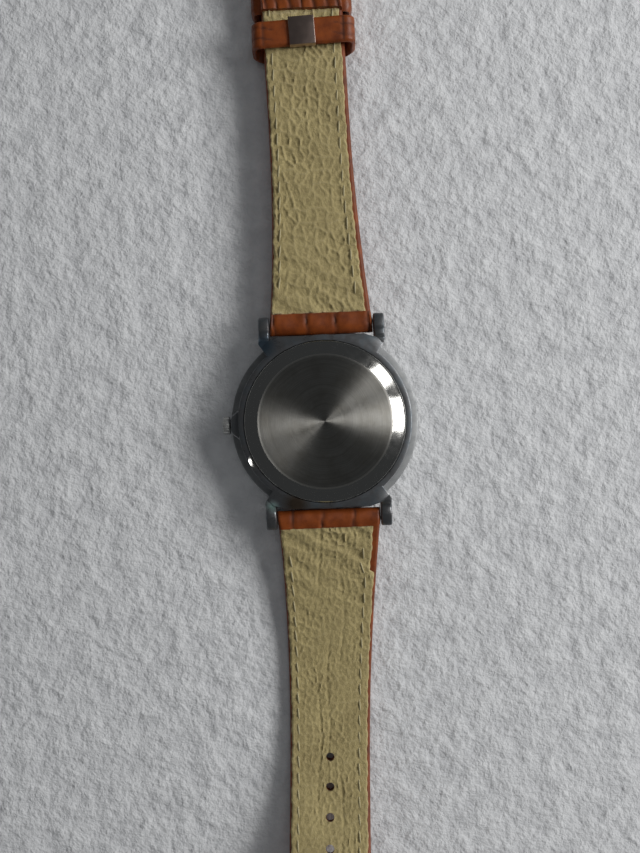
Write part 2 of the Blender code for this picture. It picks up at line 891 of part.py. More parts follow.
def plates_and_bridges(at):
    screws = {
        "barrel_bridge_screw_1": (-10.3 * MM, 3.7 * MM),
        "barrel_bridge_screw_2": (0.9 * MM, 10.6 * MM),
        "train_bridge_screw_1": (-9.8 * MM, -5.5 * MM),
        "train_bridge_screw_2": (4.2 * MM, -10.2 * MM),
        "balance_cock_screw": (11.3 * MM, -1.8 * MM),
    }
    main = plate("main_plate", [circle(MOVEMENT_RADIUS, 48)], MAIN_LOW, MAIN_HIGH, NICKEL)
    channel = box("stem_channel", (-13 * MM, -0.55 * MM, 4 * MM), (-6.3 * MM, 0.55 * MM, 6 * MM))
    pocket = box("pinion_pocket", (-10.6 * MM, -1.05 * MM, 4 * MM), (-7.2 * MM, 1.05 * MM, 6 * MM))
    lever_pocket = box("lever_pocket", (-11.6 * MM, -3.1 * MM, 4 * MM), (-9.2 * MM, 0.1 * MM, 4.85 * MM))
    drills = [
        rod(f"main_drill_{i}", radius, 4 * MM, 6 * MM, place, sides=10)
        for i, (place, radius) in enumerate(
            [(spot, 0.42 * MM) for spot in screws.values()]
            + [
                (at["centre"], 0.63 * MM),
                (at["barrel"], 0.42 * MM),
                (at["third"], 0.2 * MM),
                (at["fourth"], 0.3 * MM),
                (at["escape"], 0.15 * MM),
                (at["pallet"], 0.15 * MM),
                (at["balance"], 0.2 * MM),
            ]
        )
    ]
    cut(main, channel, pocket, lever_pocket, *drills)
    post_at = polar(CANNON_PITCH + MINUTE_PITCH, MINUTE_WHEEL_BEARING)
    unite(main, rod("minute_wheel_post", 0.21 * MM, 3.68 * MM, 4.5 * MM, post_at, sides=10))

    bridge(
        "barrel_bridge",
        arc(12.0 * MM, 76, 188, 18)
        + [(-2.4 * MM, -1.5 * MM), (1.3 * MM, -1.5 * MM), (2.0 * MM, 2.2 * MM)],
        [screws["barrel_bridge_screw_1"], screws["barrel_bridge_screw_2"], (-7.7 * MM, 7.9 * MM)],
        [screws["barrel_bridge_screw_1"], screws["barrel_bridge_screw_2"]],
        [(at["barrel"], 0.56 * MM), (at["centre"], 0.3 * MM)],
    )
    unite(
        bpy.data.objects["barrel_bridge"],
        rod("crown_wheel_core", 0.85 * MM, 7.1 * MM, WHEEL_HIGH + 0.06 * MM, at["crown_wheel"]),
    )
    bridge(
        "train_bridge",
        arc(12.0 * MM, 194, 304, 18)
        + [(6.2 * MM, -5.2 * MM), (5.2 * MM, -3.6 * MM), (3.4 * MM, -3.1 * MM), (0.4 * MM, -2.3 * MM)],
        [screws["train_bridge_screw_1"], screws["train_bridge_screw_2"], (-4.5 * MM, -10.3 * MM)],
        [screws["train_bridge_screw_1"], screws["train_bridge_screw_2"]],
        [
            (at["third"], 0.2 * MM),
            (at["fourth"], 0.17 * MM),
            (at["escape"], 0.15 * MM),
            (at["pallet"], 0.15 * MM),
        ],
    )
    cock_tip = at["balance"]
    bridge(
        "balance_cock",
        arc(12.0 * MM, -16, 2, 4) + arc(1.1 * MM, 75, 275, 8, cock_tip),
        [screws["balance_cock_screw"]],
        [screws["balance_cock_screw"]],
        [(at["balance"], 0.17 * MM)],
    )
    for name, spot in screws.items():
        screw(name, spot)
    holder = turned(
        "movement_ring",
        [
            (12.42 * MM, 3.7 * MM),
            (12.42 * MM, 5.9 * MM),
            (13.1 * MM, 5.9 * MM),
            (13.1 * MM, 3.7 * MM),
        ],
        GASKET,
        steps=40,
    )
    cut(holder, box("stem_gap", (-14 * MM, -1.0 * MM, 3 * MM), (-12 * MM, 1.0 * MM, 7 * MM)))


def click(at):
    """The pawl that stops the ratchet wheel from unwinding."""
    pivot = at["barrel"] + Vector((3.5 * MM, 0.9 * MM))
    toward = (at["barrel"] - pivot).normalized()
    beak = pivot + toward * 0.75 * MM
    side = Vector((-toward.y, toward.x))
    outline = [
        pivot + side * 0.45 * MM - toward * 0.35 * MM,
        beak + side * 0.3 * MM,
        beak - side * 0.1 * MM,
        pivot - side * 0.4 * MM,
        pivot - side * 1.6 * MM - toward * 0.3 * MM,
        pivot - side * 1.5 * MM - toward * 0.6 * MM,
    ]
    local = [tuple(point - pivot) for point in outline]
    made = plate("click", [local], BRIDGE_HIGH + 0.05 * MM, WHEEL_HIGH, STEEL, centre=pivot)
    unite(made, rod("click_screw", 0.4 * MM, BRIDGE_HIGH + 0.1 * MM, WHEEL_HIGH + 0.15 * MM, pivot))


def escapement(at):
    toward = at["balance"] - at["pallet"]
    heading = math.atan2(toward.y, toward.x)
    arm = 1.35 * MM
    outline = [
        (0.3 * MM, 0.16 * MM),
        (toward.length - 0.95 * MM, 0.09 * MM),
        (toward.length - 0.6 * MM, 0.28 * MM),
        (toward.length - 0.6 * MM, 0.14 * MM),
        (toward.length - 0.8 * MM, 0),
        (toward.length - 0.6 * MM, -0.14 * MM),
        (toward.length - 0.6 * MM, -0.28 * MM),
        (toward.length - 0.95 * MM, -0.09 * MM),
        (0.3 * MM, -0.16 * MM),
        (-0.1 * MM, -arm),
        (-0.75 * MM, -arm - 0.25 * MM),
        (-0.85 * MM, -arm),
        (-0.35 * MM, -arm + 0.15 * MM),
        (-0.22 * MM, 0),
        (-0.35 * MM, arm - 0.15 * MM),
        (-0.85 * MM, arm),
        (-0.75 * MM, arm + 0.25 * MM),
        (-0.1 * MM, arm),
    ]
    turn = Matrix.Rotation(heading, 2)
    local = [tuple(turn @ Vector(point)) for point in outline]
    fork = plate("pallet_fork", [local], 5.35 * MM, 5.5 * MM, STEEL, centre=at["pallet"])
    pin = turned(
        "pallet_arbor",
        arbor_profile(
            [
                (0.09 * MM, 4.9 * MM, 5.3 * MM),
                (0.14 * MM, 5.3 * MM, 6.65 * MM),
                (0.09 * MM, 6.65 * MM, 7.0 * MM),
            ]
        ),
        STEEL,
        at["pallet"],
        10,
    )
    unite(fork, pin)

    rim = plate(
        "balance_wheel",
        [circle(BALANCE_RADIUS, 36), *spoke_windows(0.6 * MM, BALANCE_RADIUS - 0.4 * MM, 3)],
        5.75 * MM,
        6.0 * MM,
        BRASS,
        centre=at["balance"],
    )
    staff = turned(
        "balance_staff",
        arbor_profile(
            [
                (0.09 * MM, 4.9 * MM, 5.3 * MM),
                (0.16 * MM, 5.3 * MM, 5.56 * MM),
                (0.5 * MM, 5.56 * MM, 5.66 * MM),
                (0.25 * MM, 5.66 * MM, 6.3 * MM),
                (0.42 * MM, 6.3 * MM, 6.5 * MM),
                (0.1 * MM, 6.5 * MM, 7.1 * MM),
            ]
        ),
        STEEL,
        at["balance"],
        14,
    )
    unite(rim, staff)
    spiral("hairspring", at["balance"], 6.4 * MM, 0.62 * MM, 2.5 * MM, 5, 0.05 * MM, BLUED)


def baton(name, angle, inner, outer, half):
    """An hour marker that stands on the dial, at a clockwise angle from twelve on the dial's face."""
    made = box(name, (-half, inner, DIAL_LOW - 0.2 * MM), (half, outer, DIAL_LOW + 0.05 * MM), NICKEL)
    made.rotation_euler.z = math.radians(angle)
    return made


def dial_side():
    dial = plate("dial", [circle(12.95 * MM, 56)], DIAL_LOW, DIAL_HIGH, DIAL_PAINT)
    markers = [
        baton(f"marker_{hour}", 30 * hour, 9.4 * MM, 11.6 * MM, (0.42 if hour % 3 == 0 else 0.26) * MM)
        for hour in range(12)
    ]
    unite(dial, *markers)
    cut(
        dial,
        rod("dial_eye", 1.15 * MM, 3 * MM, 4 * MM),
        rod("seconds_eye", 0.25 * MM, 3 * MM, 4 * MM, (0, SMALL_SECONDS_Y), sides=12),
    )
    hand("hour_hand", 7.0 * MM, 0.62 * MM, 2.7 * MM, 2.85 * MM, 1.02 * MM, 0.72 * MM, 305)
    hand("minute_hand", 10.4 * MM, 0.45 * MM, 2.25 * MM, 2.4 * MM, 0.8 * MM, 0.0, 60)
    hand(
        "small_seconds_hand", 2.7 * MM, 0.14 * MM, 2.95 * MM, 3.05 * MM, 0.35 * MM, 0.15 * MM, 200,
        (0, SMALL_SECONDS_Y),
    )
    motion_work()


def motion_work():
    """The gears behind the dial that turn the hour hand once for twelve turns of the minute hand."""
    at = Vector(polar(CANNON_PITCH + MINUTE_PITCH, MINUTE_WHEEL_BEARING))
    pipe = turned(
        "hour_wheel",
        [
            (0.7 * MM, 2.72 * MM),
            (0.7 * MM, 3.9 * MM),
            (0.5 * MM, 3.9 * MM),
            (0.5 * MM, 2.72 * MM),
        ],
        BRASS,
        steps=16,
    )
    ring = pitch_gear(HOUR_TEETH, HOUR_PITCH, MINUTE_WHEEL_BEARING)
    teeth = plate("hour_teeth", [ring, circle(0.52 * MM, 12)], 3.74 * MM, 3.88 * MM, BRASS)
    unite(pipe, teeth)

    cannon = turned(
        "cannon_pinion",
        [
            (0.45 * MM, 2.43 * MM),
            (0.45 * MM, 4.12 * MM),
            (0.25 * MM, 4.12 * MM),
            (0.25 * MM, 2.43 * MM),
        ],
        STEEL,
        steps=12,
    )
    ring = pitch_gear(CANNON_TEETH, CANNON_PITCH, MINUTE_WHEEL_BEARING)
    teeth = plate("cannon_teeth", [ring, circle(0.35 * MM, 12)], 3.93 * MM, 4.08 * MM, STEEL)
    unite(cannon, teeth)

    ring = pitch_gear(MINUTE_TEETH, MINUTE_PITCH, driven_phase(MINUTE_WHEEL_BEARING, MINUTE_TEETH))
    wheel = plate("minute_wheel", [ring], 3.94 * MM, 4.06 * MM, BRASS, centre=at)
    ring = pitch_gear(
        MINUTE_PINION_TEETH,
        MINUTE_PINION_PITCH,
        driven_phase(MINUTE_WHEEL_BEARING, MINUTE_PINION_TEETH),
    )
    pinion = plate("minute_pinion", [ring], 3.74 * MM, 4.0 * MM, BRASS, centre=at)
    unite(wheel, pinion)
    cut(wheel, rod("minute_eye", 0.25 * MM, 3.5 * MM, 4.3 * MM, at, sides=10))


def hand(name, length, half, low, high, boss, eye, angle, centre=(0, 0)):
    """A baton hand with a round boss, at a clockwise angle from twelve on the dial's face."""
    tail = boss * 1.9
    blade = [
        (half * 0.35, length),
        (half, length * 0.18),
        (half * 0.8, -tail),
        (-half * 0.8, -tail),
        (-half, length * 0.18),
        (-half * 0.35, length),
    ]
    made = plate(name, [blade], low, high, BLUED, centre=centre)
    unite(made, rod(name + "_boss", boss, low, high, centre, BLUED, 20))
    if eye:
        cut(made, rod(name + "_eye", eye, low - MM, high + MM, centre, BLUED, 16))
    spin = Matrix.Translation((*centre, 0)) @ Matrix.Rotation(math.radians(angle), 4, "Z")
    spin = spin @ Matrix.Translation((-centre[0], -centre[1], 0))
    for shape in [made] + [m.object for m in made.modifiers if m.type == "BOOLEAN"]:
        shape.matrix_world = spin @ shape.matrix_world


# ---------------------------------------------------------------- strap


class Strap:
    """The curve a strap piece follows. side is +1 for the buckle piece and -1 for the long piece."""

    def __init__(self, side, bends, length, taper, drift):
        self.side = side
        self.bends = bends
        self.length = length
        self.taper = taper
        self.drift = drift

    def heading(self, s):
        """The strap's slope at s, in radians."""
        for (a, first), (b, last) in zip(self.bends, self.bends[1:]):
            if s <= b:
                break
        share = min(max((s - a) / (b - a), 0.0), 1.0)
        return math.radians(first + (last - first) * share)

    def centre(self, s):
        """(distance out from the bar, height) of the strap's middle at s."""
        steps = max(1, round(abs(s) / (0.5 * MM)))
        out, up = 0.0, BAR_Z
        for i in range(steps):
            angle = self.heading(s * (i + 0.5) / steps)
            out += s / steps * math.cos(angle)
            up += s / steps * math.sin(angle)
        return out, up

    def sideways(self, s):
        return self.drift * s * s / (s + DRIFT_SETTLE) if s > 0 else 0.0

    def point(self, s, x, n):
        """A point of the strap: s along it, x across it and n through it."""
        out, up = self.centre(s)
        angle = self.heading(s)
        return Vector(
            (
                x + self.sideways(s),
                self.side * (BAR_Y + out - n * math.sin(angle)),
                up + n * math.cos(angle),
            )
        )

    def width(self, s):
        share = max(0.0, 1 - max(s, 0.0) / self.taper) ** 2
        width = STRAP_TIP_WIDTH + (STRAP_LUG_WIDTH - STRAP_TIP_WIDTH) * share
        if self.side < 0:
            left = (self.length - s) / (7.0 * MM)
            if left < 1:
                width *= math.sqrt(max(1 - (1 - left) ** 2, 0.02))
        return width

    def half_thickness(self, s):
        share = smooth(s / (25 * MM))
        return LUG_HALF_THICKNESS + (TIP_HALF_THICKNESS - LUG_HALF_THICKNESS) * share


SHORT = Strap(1, SHORT_BENDS, SHORT_LENGTH, SHORT_TAPER, SHORT_DRIFT)
LONG = Strap(-1, LONG_BENDS, LONG_LENGTH, LONG_TAPER, LONG_DRIFT)


def spread(start, end, step):
    """Values from start to end, about a step apart, both ends included."""
    count = max(1, round(abs(end - start) / step))
    return [start + (end - start) * i / count for i in range(count + 1)]


def layer(name, strap, rows, columns, thickness, material):
    """One sheet of the strap. rows are (s, n, domed) along it and columns are shares of the half width.
    Where domed is 1, the sheet's edges rise towards the lining."""
    work = bmesh.new()
    bmesh.ops.create_grid(work, x_segments=len(columns) - 1, y_segments=len(rows) - 1, size=1)
    work.verts.ensure_lookup_table()
    for index, vertex in enumerate(work.verts):
        row, column = divmod(index, len(columns))
        s, n, domed = rows[row]
        share = columns[column]
        inset = 0.0 if domed is not None else LINING_INSET
        half = strap.width(s) / 2 - inset
        rise = (domed or 0.0) * 0.75 * MM * max(0.0, (abs(share) - 0.7) / 0.3) ** 2
        vertex.co = strap.point(s, share * half, n + rise)
    mesh = bpy.data.meshes.new(name)
    work.to_mesh(mesh)
    work.free()
    made = add(name, mesh, material)
    solid = made.modifiers.new("Thickness", "SOLIDIFY")
    solid.thickness = thickness
    solid.offset = 0
    solid.use_even_offset = True
    return made


OUTER_COLUMNS = [-1, -0.9, -0.7, 0, 0.7, 0.9, 1]
FLAT_COLUMNS = [-1, 0, 1]


def fold_rows(start, end, steps, at_s, at_n, radius):
    """The sheet's way round a bar, from start to end in degrees."""
    rows = []
    for i in range(steps + 1):
        angle = math.radians(start + (end - start) * i / steps)
        rows.append((at_s + radius * math.cos(angle), at_n + radius * math.sin(angle), 0.0))
    return rows


def outer_rows(strap, first, last, step=5 * MM):
    """The outer sheet on the far side from the wrist, from first to last."""
    rows = []
    for s in spread(first, last, step):
        rows.append((s, -(strap.half_thickness(s) - LAYER / 2), smooth((s - 1.5 * MM) / (5 * MM))))
    return rows


def lining_rows(strap, first, last, step=5 * MM):
    return [(s, strap.half_thickness(s) - LINING / 2, None) for s in spread(first, last, step)]


def root_sheets(number, strap, flex):
    """The stretch of strap from the spring bar to where it flexes: outer leather, lining and padding."""
    wrap = LUG_HALF_THICKNESS - LAYER / 2
    rows = [(LINING_START - 0.05 * MM, wrap, 0.0)]
    rows += fold_rows(90, 270, 8, 0, 0, wrap)
    rows += outer_rows(strap, 1.5 * MM, flex - FLEX_GAP / 2)
    layer(f"strap_{number}_outer_root", strap, rows, OUTER_COLUMNS, LAYER, LEATHER)
    layer(
        f"strap_{number}_lining_root",
        strap,
        lining_rows(strap, LINING_START, flex - FLEX_GAP / 2),
        FLAT_COLUMNS,
        LINING - GAP,
        LINING_LEATHER,
    )
    rows = [(s, -0.05 * MM, None) for s in spread(1.2 * MM, flex - FLEX_GAP / 2, 6 * MM)]
    columns = [-0.78, 0, 0.78]
    layer(f"strap_{number}_padding", strap, rows, columns, 0.75 * MM, FELT)


def short_tip():
    """The buckle end of the short piece, whose outer leather turns back over the buckle's bar."""
    first = SHORT_FLEX + FLEX_GAP / 2
    bar_s = SHORT_LENGTH
    rows = outer_rows(SHORT, first, bar_s - 2.5 * MM)
    rows += fold_rows(-90, 90, 8, bar_s, BUCKLE_BAR_N, BUCKLE_FOLD)
    flap_n = BUCKLE_BAR_N + BUCKLE_FOLD
    rows += [(s, flap_n, 0.0) for s in spread(bar_s - 3 * MM, FLAP_START, 3 * MM)]
    outer = layer("strap_12_outer_tip", SHORT, rows, OUTER_COLUMNS, LAYER, LEATHER)
    slot_middle = SHORT.sideways(bar_s)
    slot = box(
        "tongue_slot",
        (slot_middle - 1.3 * MM, BAR_Y + bar_s - 3.4 * MM, 0),
        (slot_middle + 1.3 * MM, BAR_Y + bar_s + 4 * MM, 10 * MM),
    )
    cut(outer, slot)
    layer(
        "strap_12_lining_tip",
        SHORT,
        lining_rows(SHORT, first, bar_s - 3.6 * MM),
        FLAT_COLUMNS,
        LINING - GAP,
        LINING_LEATHER,
    )


def hole_cutter(name, s):
    out = LONG.point(s, 0, 0)
    turn = Matrix.Translation(out) @ Matrix.Rotation(-LONG.heading(s), 4, "X")
    return rod(name, HOLE_RADIUS, -3 * MM, 3 * MM, sides=10, turn=turn)


def long_tip():
    """The pointed end of the long piece, with the holes for the tongue."""
    first = LONG_FLEX + FLEX_GAP / 2
    stops = spread(first, LONG_LENGTH - 7 * MM, 5 * MM)
    stops += [LONG_LENGTH - back * MM for back in (5, 3, 1.6, 0.6, 0)]
    rows = [(s, -(LONG.half_thickness(s) - LAYER / 2), 1.0) for s in stops[:-4]]
    rows += [(s, -(LONG.half_thickness(s) - LAYER / 2), 0.6) for s in stops[-4:]]
    outer = layer("strap_6_outer_tip", LONG, rows, OUTER_COLUMNS, LAYER, LEATHER)
    lining_stops = [s for s in stops if s < LONG_LENGTH - 1 * MM]
    rows = [(s, LONG.half_thickness(s) - LINING / 2, None) for s in lining_stops]
    lining = layer("strap_6_lining_tip", LONG, rows, FLAT_COLUMNS, LINING - GAP, LINING_LEATHER)
    for i in range(HOLE_COUNT):
        s = HOLE_START + i * HOLE_PITCH
        cut(outer, hole_cutter(f"outer_hole_{i}", s))
        cut(lining, hole_cutter(f"lining_hole_{i}", s))


def rounded_rectangle(x0, x1, y0, y1, radius, steps=3):
    found = []
    for cx, cy, start in (
        (x1 - radius, y1 - radius, 0),
        (x0 + radius, y1 - radius, 90),
        (x0 + radius, y0 + radius, 180),
        (x1 - radius, y0 + radius, 270),
    ):
        found += arc(radius, start, start + 90, steps, (cx, cy))
    return found


def upright(x, y, z=0.0):
    """A place for a plate whose outline is in X and Z, and whose thickness runs along Y."""
    return Matrix.Translation((x, y, z)) @ Matrix.Rotation(math.pi / 2, 4, "X")


def keepers():
    top = BAR_Z + TIP_HALF_THICKNESS
    middle = SHORT.sideways(FLOATING_KEEPER_S)
    place = upright(middle, BAR_Y + FLOATING_KEEPER_S)
    inner = KEEPER_HALF - KEEPER_BAND
    crest = top + 0.12 * MM + KEEPER_BAND
    low = 0.02 * MM
    plate(
        "floating_keeper",
        [
            rounded_rectangle(-KEEPER_HALF, KEEPER_HALF, low, crest, 1.5 * MM),
            rounded_rectangle(-inner, inner, low + KEEPER_BAND, crest - KEEPER_BAND, 0.9 * MM),
        ],
        -KEEPER_WIDTH / 2,
        KEEPER_WIDTH / 2,
        LEATHER,
        turn=place,
    )
    # The clip is a channel over the joint in the loose keeper's band.
    wide, leg, sheet = KEEPER_WIDTH / 2 + 0.4 * MM, 0.85 * MM, 0.3 * MM
    channel = [
        (-wide, crest - leg),
        (-wide, crest + sheet + 0.05 * MM),
        (wide, crest + sheet + 0.05 * MM),
        (wide, crest - leg),
        (wide - sheet, crest - leg),
        (wide - sheet, crest + 0.05 * MM),
        (-wide + sheet, crest + 0.05 * MM),
        (-wide + sheet, crest - leg),
    ]
    turn = Matrix(((0, 0, 1, middle), (1, 0, 0, BAR_Y + FLOATING_KEEPER_S), (0, 1, 0, 0), (0, 0, 0, 1)))
    clip = plate("keeper_clip", [channel], -2.65 * MM, 2.65 * MM, STEEL, turn=turn)
    round_edges(clip, 0.08 * MM, 1)

    edge = STRAP_TIP_WIDTH / 2 + 0.25 * MM
    outside, inside = KEEPER_HALF - 0.2 * MM, KEEPER_HALF - 0.2 * MM - KEEPER_BAND
    arms = BAR_Z + 0.6 * MM
    half = [
        (edge, arms),
        (outside - 0.6 * MM, arms),
        (outside, arms - 0.6 * MM),
        (outside, 1.0 * MM),
        (outside - 1.0 * MM, low),
    ]
    back = [
        (inside - 0.5 * MM, low + KEEPER_BAND),
        (inside, 1.6 * MM),
        (inside, arms - KEEPER_BAND),
        (edge, arms - KEEPER_BAND),
    ]
    outline = half + [(-x, z) for x, z in reversed(half)] + [(-x, z) for x, z in reversed(back)] + back
    plate(
        "fixed_keeper",
        [outline],
        -KEEPER_WIDTH / 2,
        KEEPER_WIDTH / 2,
        LEATHER,
        turn=upright(SHORT.sideways(FIXED_KEEPER_S), BAR_Y + FIXED_KEEPER_S),
    )


def buckle():
    """Frame, tongue and bar. The frame hangs from the bar until the tongue under it meets the ground."""
    bar = SHORT.point(SHORT_LENGTH, 0, BUCKLE_BAR_N)
    place = Matrix.Translation(bar) @ Matrix.Rotation(BUCKLE_PITCH, 4, "X")
    outside, inside = BUCKLE_HALF_WIDTH, BUCKLE_HALF_WIDTH - 1.6 * MM
    front = BUCKLE_LENGTH + 0.9 * MM
    half = [(inside, -1.0 * MM), (outside - 0.4 * MM, -1.0 * MM), (outside, -0.4 * MM)]
    half += arc(3.0 * MM, 0, 90, 4, (outside - 3.0 * MM, front - 3.0 * MM))
    inner = arc(1.6 * MM, 0, 90, 3, (inside - 1.6 * MM, front - 1.9 * MM - 1.6 * MM))
    outline = half + [(-x, y) for x, y in reversed(half)]
    outline += [(-x, y) for x, y in inner] + [(x, y) for x, y in reversed(inner)]
    frame = plate("buckle_frame", [outline], -0.85 * MM, 0.85 * MM, STEEL, turn=place)
    round_edges(frame, 0.35 * MM, 1, 50)
    hole = rod(
        "buckle_hole", BAR_HOLE_RADIUS, 0, 17.9 * MM, sides=12, turn=place @ along_x(-8.95 * MM, 0, 0)
    )
    cut(frame, hole)
    spring_bar("buckle_bar", inside - 0.1 * MM, place @ along_x())

    swing = place @ Matrix.Rotation(TONGUE_DROP, 4, "X")
    # The outline's own X becomes length along the tongue, and its Y becomes height.
    turn = swing @ Matrix(((0, 0, 1, 0), (1, 0, 0, 0), (0, 1, 0, 0), (0, 0, 0, 1)))
    eye = 0.82 * MM
    rim = eye + 0.45 * MM
    side = [(9.9 * MM, -0.35 * MM), (9.9 * MM, 0.1 * MM), (9.0 * MM, 0.35 * MM), (1.1 * MM, 0.42 * MM)]
    side += arc(rim, 25, 335, 12)
    side += [(1.25 * MM, -0.42 * MM)]
    plate("buckle_tongue", [side, circle(eye, 14)], -0.8 * MM, 0.8 * MM, STEEL, turn=turn)


def main():
    clear_scene()
    case()
    bars = {
        "spring_bar_12": along_x(0, BAR_Y, BAR_Z),
        "spring_bar_6": along_x(0, -BAR_Y, BAR_Z),
    }
    for name, place in bars.items():
        spring_bar(name, LUG_WIDTH / 2 - 0.12 * MM, place)
    crown_and_stem()
    at = place_train()
    plates_and_bridges(at)
    going_train(at)
    escapement(at)
    click(at)
    dial_side()
    root_sheets("12", SHORT, SHORT_FLEX)
    root_sheets("6", LONG, LONG_FLEX)
    short_tip()
    long_tip()
    keepers()
    buckle()


main()
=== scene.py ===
"""The looks of a wristwatch that lies face down on its crystal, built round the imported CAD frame."""

import json
import math

import bmesh
import bpy
import numpy as np
from mathutils import Matrix, Vector


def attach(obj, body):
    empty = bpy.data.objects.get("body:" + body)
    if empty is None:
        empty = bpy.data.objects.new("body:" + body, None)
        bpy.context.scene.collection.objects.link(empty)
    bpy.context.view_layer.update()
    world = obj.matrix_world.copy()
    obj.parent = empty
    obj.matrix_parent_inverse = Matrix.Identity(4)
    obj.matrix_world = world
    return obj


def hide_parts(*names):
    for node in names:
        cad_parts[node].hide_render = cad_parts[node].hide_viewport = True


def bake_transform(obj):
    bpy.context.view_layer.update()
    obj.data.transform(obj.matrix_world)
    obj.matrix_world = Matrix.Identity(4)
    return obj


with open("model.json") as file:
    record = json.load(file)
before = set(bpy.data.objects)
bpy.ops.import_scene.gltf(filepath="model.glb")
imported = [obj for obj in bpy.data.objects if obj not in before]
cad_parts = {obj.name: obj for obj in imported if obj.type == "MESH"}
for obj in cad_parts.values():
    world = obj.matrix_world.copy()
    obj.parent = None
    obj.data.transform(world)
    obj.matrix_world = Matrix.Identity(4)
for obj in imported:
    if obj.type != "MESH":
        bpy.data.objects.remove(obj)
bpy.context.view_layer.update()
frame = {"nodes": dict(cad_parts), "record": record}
NODES = frame["nodes"]

MM = 0.001
TURN = 2 * math.pi

# ---------------------------------------------------------------- the frame's sizes, as the CAD has them

BAR_Y, BAR_Z = 17.3, 4.9
CASE_R, BEZEL_R, BACK_R, FLAT_R = 15.1, 16.6, 14.0, 11.6
PLATE_TOP, CASE_FLOOR, BACK_TOP = 7.3, 3.2, 8.8
STEM_Z = 4.7
LUG_HALF, TIP_HALF = 1.45, 1.15
SHORT_LENGTH, LONG_LENGTH = 64.2, 100.0
SHORT_FLEX, LONG_FLEX = 29.0, 36.0
LINING = 0.7
LINING_START = {1: 1.6, -1: 0.9}
LUG_NOSE = 2.0
FLAP_START = 54.9
HOLE_START, HOLE_PITCH = 42.8, 5.1
BUCKLE_BAR_N, BUCKLE_FOLD = 0.325, 1.475
FLOATING_KEEPER_S, FIXED_KEEPER_S = 50.3, 56.8
KEEPER_TILT = math.radians(2.4)
# Where the leather turned over each bar is creased, across the strap.
FOLD_CREASES = {1: (-8.2, -2.4, 2.6, 8.3), -1: (-6.3, -1.1, 4.4)}
STITCH_PITCH = 2.8
# From the lining's edge to its stitching, by strap piece and edge.
STITCH_INSET = {(1, 1): 1.3, (1, -1): 1.15, (-1, 1): 1.45, (-1, -1): 1.25}


# ---------------------------------------------------------------- small tools


def smooth(t):
    t = np.clip(t, 0.0, 1.0)
    return t * t * (3 - 2 * t)


def noise(i, j, seed):
    """A repeatable number from 0 to 1 for a pair of whole numbers."""
    value = np.sin(np.asarray(i) * 127.1 + np.asarray(j) * 311.7 + seed * 74.7) * 43758.5453
    return value - np.floor(value)


def add(name, mesh, material):
    made = bpy.data.objects.new(name, mesh)
    bpy.context.scene.collection.objects.link(made)
    if material:
        mesh.materials.append(material)
    return made


def shade(mesh, degrees=35):
    mesh.shade_smooth()
    mesh.set_sharp_from_angle(angle=math.radians(degrees))


def mesh_from(name, points, faces):
    """A closed mesh from points in millimetres, with its normals facing out."""
    mesh = bpy.data.meshes.new(name)
    mesh.from_pydata([tuple(p) for p in np.asarray(points, float) * MM], [], faces)
    work = bmesh.new()
    work.from_mesh(mesh)
    bmesh.ops.remove_doubles(work, verts=work.verts, dist=1e-7)
    bmesh.ops.recalc_face_normals(work, faces=work.faces)
    work.to_mesh(mesh)
    work.free()
    return mesh


def face_out(mesh):
    """Turns every face of a closed mesh outwards."""
    work = bmesh.new()
    work.from_mesh(mesh)
    bmesh.ops.recalc_face_normals(work, faces=work.faces)
    work.to_mesh(mesh)
    work.free()


def tube_faces(rings, sides, closed_ends=True, looped=False):
    """Faces of a tube of that many rings, each of that many points."""
    faces = []
    for r in range(rings if looped else rings - 1):
        a, b = r * sides, (r + 1) % rings * sides
        for i in range(sides):
            j = (i + 1) % sides
            faces.append((a + i, a + j, b + j, b + i))
    if closed_ends and not looped:
        faces.append(tuple(range(sides)))
        faces.append(tuple(range((rings - 1) * sides, rings * sides)))
    return faces


def applied(made):
    """The object's modifiers applied to its mesh."""
    bpy.context.view_layer.update()
    graph = bpy.context.evaluated_depsgraph_get()
    mesh = bpy.data.meshes.new_from_object(made.evaluated_get(graph))
    made.modifiers.clear()
    made.data = mesh
    return made


def round_edges(made, width, segments=2, degrees=30):
    bevel = made.modifiers.new("Round", "BEVEL")
    bevel.width = width * MM
    bevel.segments = segments
    bevel.limit_method = "ANGLE"
    bevel.angle_limit = math.radians(degrees)
    return made


def boolean(made, operation, others):
    for other in others:
        step = made.modifiers.new(operation.title(), "BOOLEAN")
        step.operation = operation
        step.solver = "EXACT"
        step.object = other
    applied(made)
    for other in others:
        bpy.data.objects.remove(other)
    return made


def lathe(name, profile, material, segments=160, place=None):
    """A round piece from a closed profile of (radius, height) in millimetres."""
    points, faces = [], []
    count = len(profile)
    for k in range(segments):
        c, s = math.cos(TURN * k / segments), math.sin(TURN * k / segments)
        points += [(r * c, r * s, z) for r, z in profile]
    for k in range(segments):
        a, b = k * count, (k + 1) % segments * count
        for i in range(count):
            j = (i + 1) % count
            if profile[i][0] == 0 and profile[j][0] == 0:
                continue
            faces.append((a + i, b + i, b + j, a + j))
    made = add(name, mesh_from(name, points, faces), material)
    shade(made.data)
    if place:
        made.data.transform(place)
    return made


def prism(name, outline, low, high, material, place=None):
    """A closed straight piece from an outline in millimetres."""
    count = len(outline)
    points = [(x, y, low) for x, y in outline] + [(x, y, high) for x, y in outline]
    made = add(name, mesh_from(name, points, tube_faces(2, count)), material)
    if place:
        made.data.transform(place)
    return made


def arc(radius, start, end, steps, centre=(0, 0)):
    found = []
    for i in range(steps + 1):
        angle = math.radians(start + (end - start) * i / steps)
        found.append((centre[0] + radius * math.cos(angle), centre[1] + radius * math.sin(angle)))
    return found


def along_x(x, y, z):
    return Matrix.Translation((x * MM, y * MM, z * MM)) @ Matrix.Rotation(math.pi / 2, 4, "Y")


# ---------------------------------------------------------------- materials


